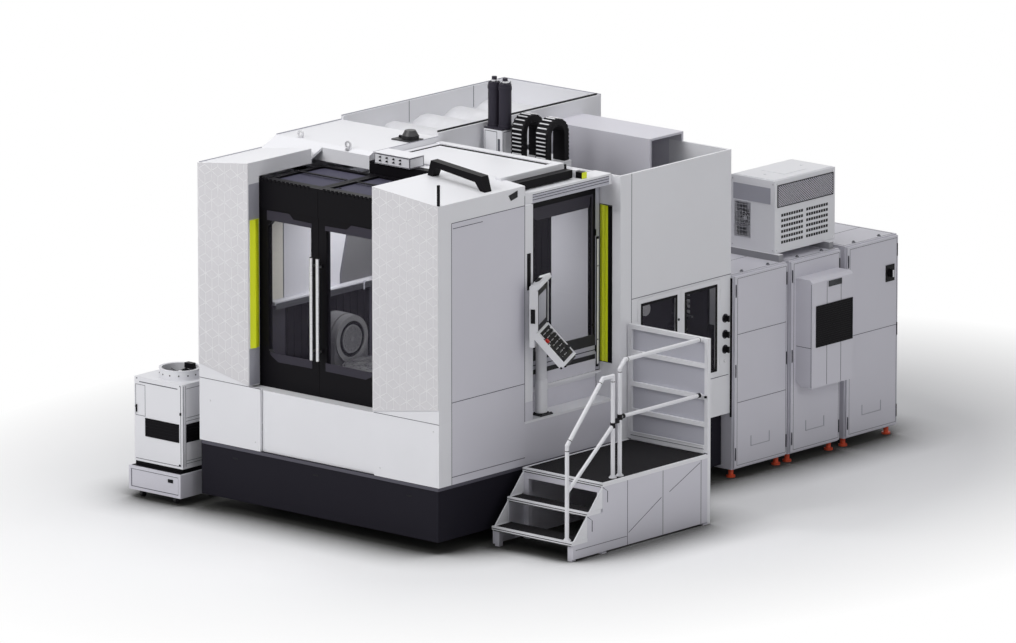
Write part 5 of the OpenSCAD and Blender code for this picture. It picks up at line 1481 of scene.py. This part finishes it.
def rail_fittings():
    """Dark joints at the rails' bends, clamps at the middle rails and foot flanges."""
    low, high, turn = (Vector(point) for point in STAIR_RAIL)
    corner, after = (Vector(point) for point in DECK_RAIL)
    slope = (high - low).normalized()
    up = Vector((0, 1))
    level = Vector((1, 0))
    joints = Shape()
    for place, way in ((low - up * 0.05, up), (low + slope * 0.05, slope), (high - slope * 0.05, slope),
                       (turn - up * 0.05, up), (corner - up * 0.03, up), (after + level * 0.03, level),
                       (Vector((DECK_END - 0.03, after.y)), level)):
        joints.bar((RAIL_X, *(place - way * 0.003)), (RAIL_X, *(place + way * 0.003)), RAIL_R + 0.0012, 24)
    joints.piece("rail_joints", "rubber")

    clamps = Shape()
    for y, z in ((turn.x, STAIR_CLAMP_Z), (corner.x, MID_RAIL_Z)):
        clamps.stud((RAIL_X, y, z - 0.024), (0, 0, 0.048), RAIL_R + 0.005, 24)
    clamps.box(about(RAIL_X, 0.016), (turn.x + 0.022, corner.x - 0.022), (1.135, 1.175))
    for y, length in ((corner.x + 0.024, 0.031), (DECK_END - 0.05, 0.03)):
        clamps.stud((RAIL_X, y, MID_RAIL_Z), (0, length, 0), RAIL_R + 0.003, 24)
    clamps.stud((PLATFORM_X[1] - 0.02, DECK_END - 0.016, MID_RAIL_Z - 0.01), (0, 0.016, 0), 0.011)
    clamps.piece("rail_clamps", "plastic")

    feet = Shape()
    for y, z in ((low.x, TREADS[0][2] + NOSE_T), (turn.x, DECK_Z), (corner.x, DECK_Z)):
        feet.ring((RAIL_X, y, z), (0, 0, 1), 0.036, RAIL_R, 0.007)
        feet.ring((RAIL_X, y, z + 0.007), (0, 0, 1), 0.025, RAIL_R, 0.012)
    feet.piece("rail_feet", "white")


# Filter cart

CART = span("cart_base")
TOWER = span("cart_tower")
TOWER_TOP = 1.115
RING_MID = (-3.265, 0.17)
RING_R = 0.19
CART_WINDOW_X = (-3.461, -3.057)
CART_WINDOW_Z = (0.579, 0.737)
TRAY_Z = 0.294


def cart_fittings():
    """Windows, joints, latches, tray, ring clamps and lips of the filter cart."""
    front = TOWER[0].y
    side = TOWER[1].x
    window_y = (front + 0.055, TOWER[1].y - 0.05)
    rim_z = inset(CART_WINDOW_Z, -0.006)
    windows = Shape().box(CART_WINDOW_X, on(front, -0.002), CART_WINDOW_Z)
    windows.frame_y(inset(CART_WINDOW_X, -0.006), on(front, -0.005), rim_z, 0.008)
    windows.box(on(side, 0.002), window_y, CART_WINDOW_Z)
    windows.frame_x(on(side, 0.005), inset(window_y, -0.006), rim_z, 0.008)
    for k in range(5):
        z = on(CART_WINDOW_Z[0] + 0.02 + 0.029 * k, 0.010)
        windows.box(inset(CART_WINDOW_X, 0.006), on(front - 0.002, -0.002), z)
        windows.box(on(side + 0.002, 0.002), inset(window_y, 0.005), z)
    windows.piece("cart_windows", "black")

    thin = on(front, -SEAM_T)
    edge = on(side, SEAM_T)
    lines = Shape().frame_y((-3.587, -3.467), thin, (0.755, 1.045), 0.004)
    lines.boxes(((-3.54, -3.07), thin, (1.066, 1.074)), ((-3.034, -3.028), thin, (0.35, 1.10)),
                ((-3.585, -3.036), thin, (0.352, 0.357)))
    for y in (front + 0.012, front + 0.042):
        lines.box(edge, on(y, 0.004), (0.35, 1.10))
    for z in (0.80, 0.77, 0.40, 0.375, 1.07):
        lines.box(edge, (front + 0.05, TOWER[1].y - 0.02), on(z, 0.004))
    for x in (-3.57, -3.04):
        lines.box(about(x, 0.006), thin, (1.094, 1.106))
    lines.piece("cart_joints", "seam")

    drawer = CART[0].y + 0.006
    pulls = Shape().boxes(((-3.580, -3.566), on(front, -0.010), (0.785, 0.855)),
                          ((-3.040, -3.024), on(front, -0.008), (0.83, 0.855)),
                          ((-3.148, -3.085), on(drawer, -0.004), (0.200, 0.232)),
                          ((-3.138, -3.095), on(drawer - 0.004, -0.0015), (0.206, 0.222)))
    pulls.stud((-3.573, front - 0.010, 0.84), (0, -0.008, 0), 0.007)
    pulls.stud((-3.045, front, 0.365), (0, -0.006, 0), 0.009, 12)
    pulls.piece("cart_pulls", "plastic", bevel=0.001)
    cart_x = (CART[0].x, CART[1].x)
    outline = Shape().frame_y(inset(cart_x, 0.026), on(drawer, -0.002), (0.096, 0.264), 0.006)
    outline.piece("drawer_joint", "seam")

    x = inset((TOWER[0].x, side), 0.006)
    y = inset((front, TOWER[1].y), 0.006)
    z = (TRAY_Z, 0.33)
    tray = Shape().box(inset(cart_x, 0.02), inset((CART[0].y, CART[1].y), 0.02), on(TRAY_Z, -0.004))
    tray.boxes((x, on(y[0], 0.005), z), (x, on(y[1], -0.005), z))
    tray.boxes((on(x[0], 0.005), y, z), (on(x[1], -0.005), y, z))
    tray.stud((-3.09, CART[0].y + 0.035, TRAY_Z), (0, 0, 0.012), 0.012)
    tray.piece("cart_tray", "black")

    clamps = Shape()
    centre = Vector((*RING_MID, 1.16))
    for spoke in around(14, 1.0):
        way = Vector((*spoke, 0))
        clamps.bar(centre + way * (RING_R - 0.002), centre + way * (RING_R + 0.003), 0.007, 12)
    clamps.box(about(RING_MID[0], 0.045), (RING_MID[1] + 0.105, RING_MID[1] + 0.160), (1.172, 1.222))
    clamps.piece("ring_clamps", "plastic", bevel=0.001)
    lip = Shape()
    for z, width in ((TOWER[1].z - 0.004, 0.004), (TOWER_TOP, 0.012)):
        lip.ring((*RING_MID, z), (0, 0, 1), RING_R + width, RING_R - 0.001, 0.006, 56)
    lip.piece("ring_lip", "white")


for build in (casing_fittings, door_post, hatch, roof, side_door_fittings, side_profiles, magazine_fittings,
              pendant_screen, pendant_keys, room_walls, table_and_spindle, column_top, cooler, cabinet_tops,
              chiller, tread_frames, skirt_lines, rail_fittings, cart_fittings):
    build()
leaf_fittings("left_door", -1)
leaf_fittings("right_door", 1)
trunnion("left", -1)
trunnion("right", 1)
for cabinet in CABINETS:
    cabinet_door_lines(*cabinet)


# Stage, light and camera

FLOOR_WHITE = (0.90, 0.90, 0.91)
FLOOR_HALF = 40.0
FLOOR_MID = (-1.3, 3.0, 0.0)
FADE = (3.4, 5.6)
FADE_SQUEEZE = (1.0, 0.75, 1.0)
# Painted shadow on the floor from ambient occlusion: its reach, the occlusion range it spans and its darkest
# colour.
SHADOW_REACH = 0.7
SHADOW_RANGE = (0.50, 0.97)
SHADOW_DARK = (0.02, 0.02, 0.018)
BACKDROP = (1.0, 1.0, 1.0)
WORLD_GREY = (0.86, 0.87, 0.90)
WORLD_LEVEL = 0.25
LAMPS = (
    ("key", (-4.0, -9.0, 10.0), (-1.2, 1.5, 1.2), (7.0, 6.0), 920, True),
    ("fill", (10.5, 1.0, 7.0), (0.0, 3.0, 1.2), (6.0, 6.0), 238, True),
    ("top", (-0.5, 2.5, 12.0), (-0.5, 2.5, 0.0), (9.0, 9.0), 500, True),
    ("work_light", (-1.25, 1.25, 2.93), (-1.25, 1.35, 1.0), (1.2, 1.0), 46, False),
)
CAMERA_TURN = math.radians(40.93)
CAMERA_RISE = math.radians(12.87)
CAMERA_FOCUS = (0.0, 0.0, 0.12)
CAMERA_OFFSET = (0.6178, 1.9733, 97.78)
CAMERA_REACH = 400.0
FOCAL_PIXELS = 11000
PHOTO_PIXELS = 1016
SENSOR = 36.0


def show_through(nodes, kind, shader_output, target, share=None):
    """Mixes in the plain bright backdrop for rays from the camera, from gloss and through glass."""
    path = nodes.tree.nodes.new("ShaderNodeLightPath").outputs
    direct = nodes.math("MAXIMUM", path["Is Camera Ray"], path["Is Glossy Ray"])
    seen = nodes.math("MAXIMUM", direct, path["Is Transmission Ray"])
    if share is not None:
        seen = nodes.math("MULTIPLY", seen, share)
    bright = nodes.node(kind, {"Color": BACKDROP}, 0)
    nodes.feed(target, nodes.node("MixShader", {"Fac": seen, 1: shader_output, 2: bright}, 0))


def floor_coat():
    """Pale floor with a painted shadow, dark where the machine stands on it, that fades into the backdrop."""
    paint = Paint("floor_coat")
    # Painted shadow: ambient occlusion darkens the floor near the machine.
    occlusion_shade = paint.node("AmbientOcclusion", {"Distance": SHADOW_REACH}, "AO", samples=8)
    plain = paint.mix(paint.cloud(0.4), tint(FLOOR_WHITE, 0.985), FLOOR_WHITE)
    distance = paint.node("VectorMath", {0: paint.scaled(FADE_SQUEEZE)}, "Value", operation="LENGTH")
    output = paint.tree.nodes["Material Output"].inputs["Surface"]
    show_through(paint, "Emission", paint.shader.outputs[0], output, paint.remap(distance, *FADE))
    return paint.finish(paint.mix(paint.remap(occlusion_shade, *SHADOW_RANGE), SHADOW_DARK, plain), 0.85)


def floor():
    """Plain floor under the whole machine."""
    mesh = bmesh.new()
    middle = at(*FLOOR_MID)
    for x, y in ((-1, -1), (1, -1), (1, 1), (-1, 1)):
        mesh.verts.new((middle.x + x * FLOOR_HALF, middle.y + y * FLOOR_HALF, 0.0))
    mesh.faces.new(mesh.verts)
    data = bpy.data.meshes.new("floor")
    mesh.to_mesh(data)
    mesh.free()
    data.materials.append(floor_coat())
    made = bpy.data.objects.new("floor", data)
    bpy.context.scene.collection.objects.link(made)


def lamp(name, place, aim, size, watts, visible):
    """Area lamp that points at an aim."""
    light = bpy.data.lights.new(name, "AREA")
    light.shape = "RECTANGLE"
    light.size, light.size_y = size
    light.energy = watts
    made = bpy.data.objects.new(name, light)
    made.location = at(*place)
    made.rotation_euler = (at(*aim) - at(*place)).to_track_quat("-Z", "Y").to_euler()
    made.visible_camera = visible
    bpy.context.scene.collection.objects.link(made)


def world():
    """Even grey light, with the white backdrop where it is seen."""
    made = bpy.data.worlds.new("studio")
    made.use_nodes = True
    tree = made.node_tree
    sky = tree.nodes["Background"]
    sky.inputs["Color"].default_value = (*WORLD_GREY, 1.0)
    sky.inputs["Strength"].default_value = WORLD_LEVEL
    show_through(Nodes(tree), "Background", sky.outputs[0], tree.nodes["World Output"].inputs["Surface"])
    bpy.context.scene.world = made


def camera():
    """Long lens from the front and the operator side, as in the photo."""
    sin_a = math.sin(CAMERA_TURN)
    cos_a = math.cos(CAMERA_TURN)
    sin_e = math.sin(CAMERA_RISE)
    cos_e = math.cos(CAMERA_RISE)
    axes = Matrix(((cos_a, sin_a, 0), (-sin_a * sin_e, cos_a * sin_e, cos_e),
                   (sin_a * cos_e, -cos_a * cos_e, sin_e))).transposed()
    lens = bpy.data.cameras.new("photo_view")
    lens.sensor_width = SENSOR
    lens.lens = SENSOR * FOCAL_PIXELS / PHOTO_PIXELS
    lens.clip_end = CAMERA_REACH
    made = bpy.data.objects.new("photo_view", lens)
    made.matrix_world = Matrix.Translation(at(*CAMERA_FOCUS) + axes @ Vector(CAMERA_OFFSET)) @ axes.to_4x4()
    bpy.context.scene.collection.objects.link(made)
    bpy.context.scene.camera = made


floor()
world()
for values in LAMPS:
    lamp(*values)
camera()
bpy.context.scene.view_settings.view_transform = "Standard"
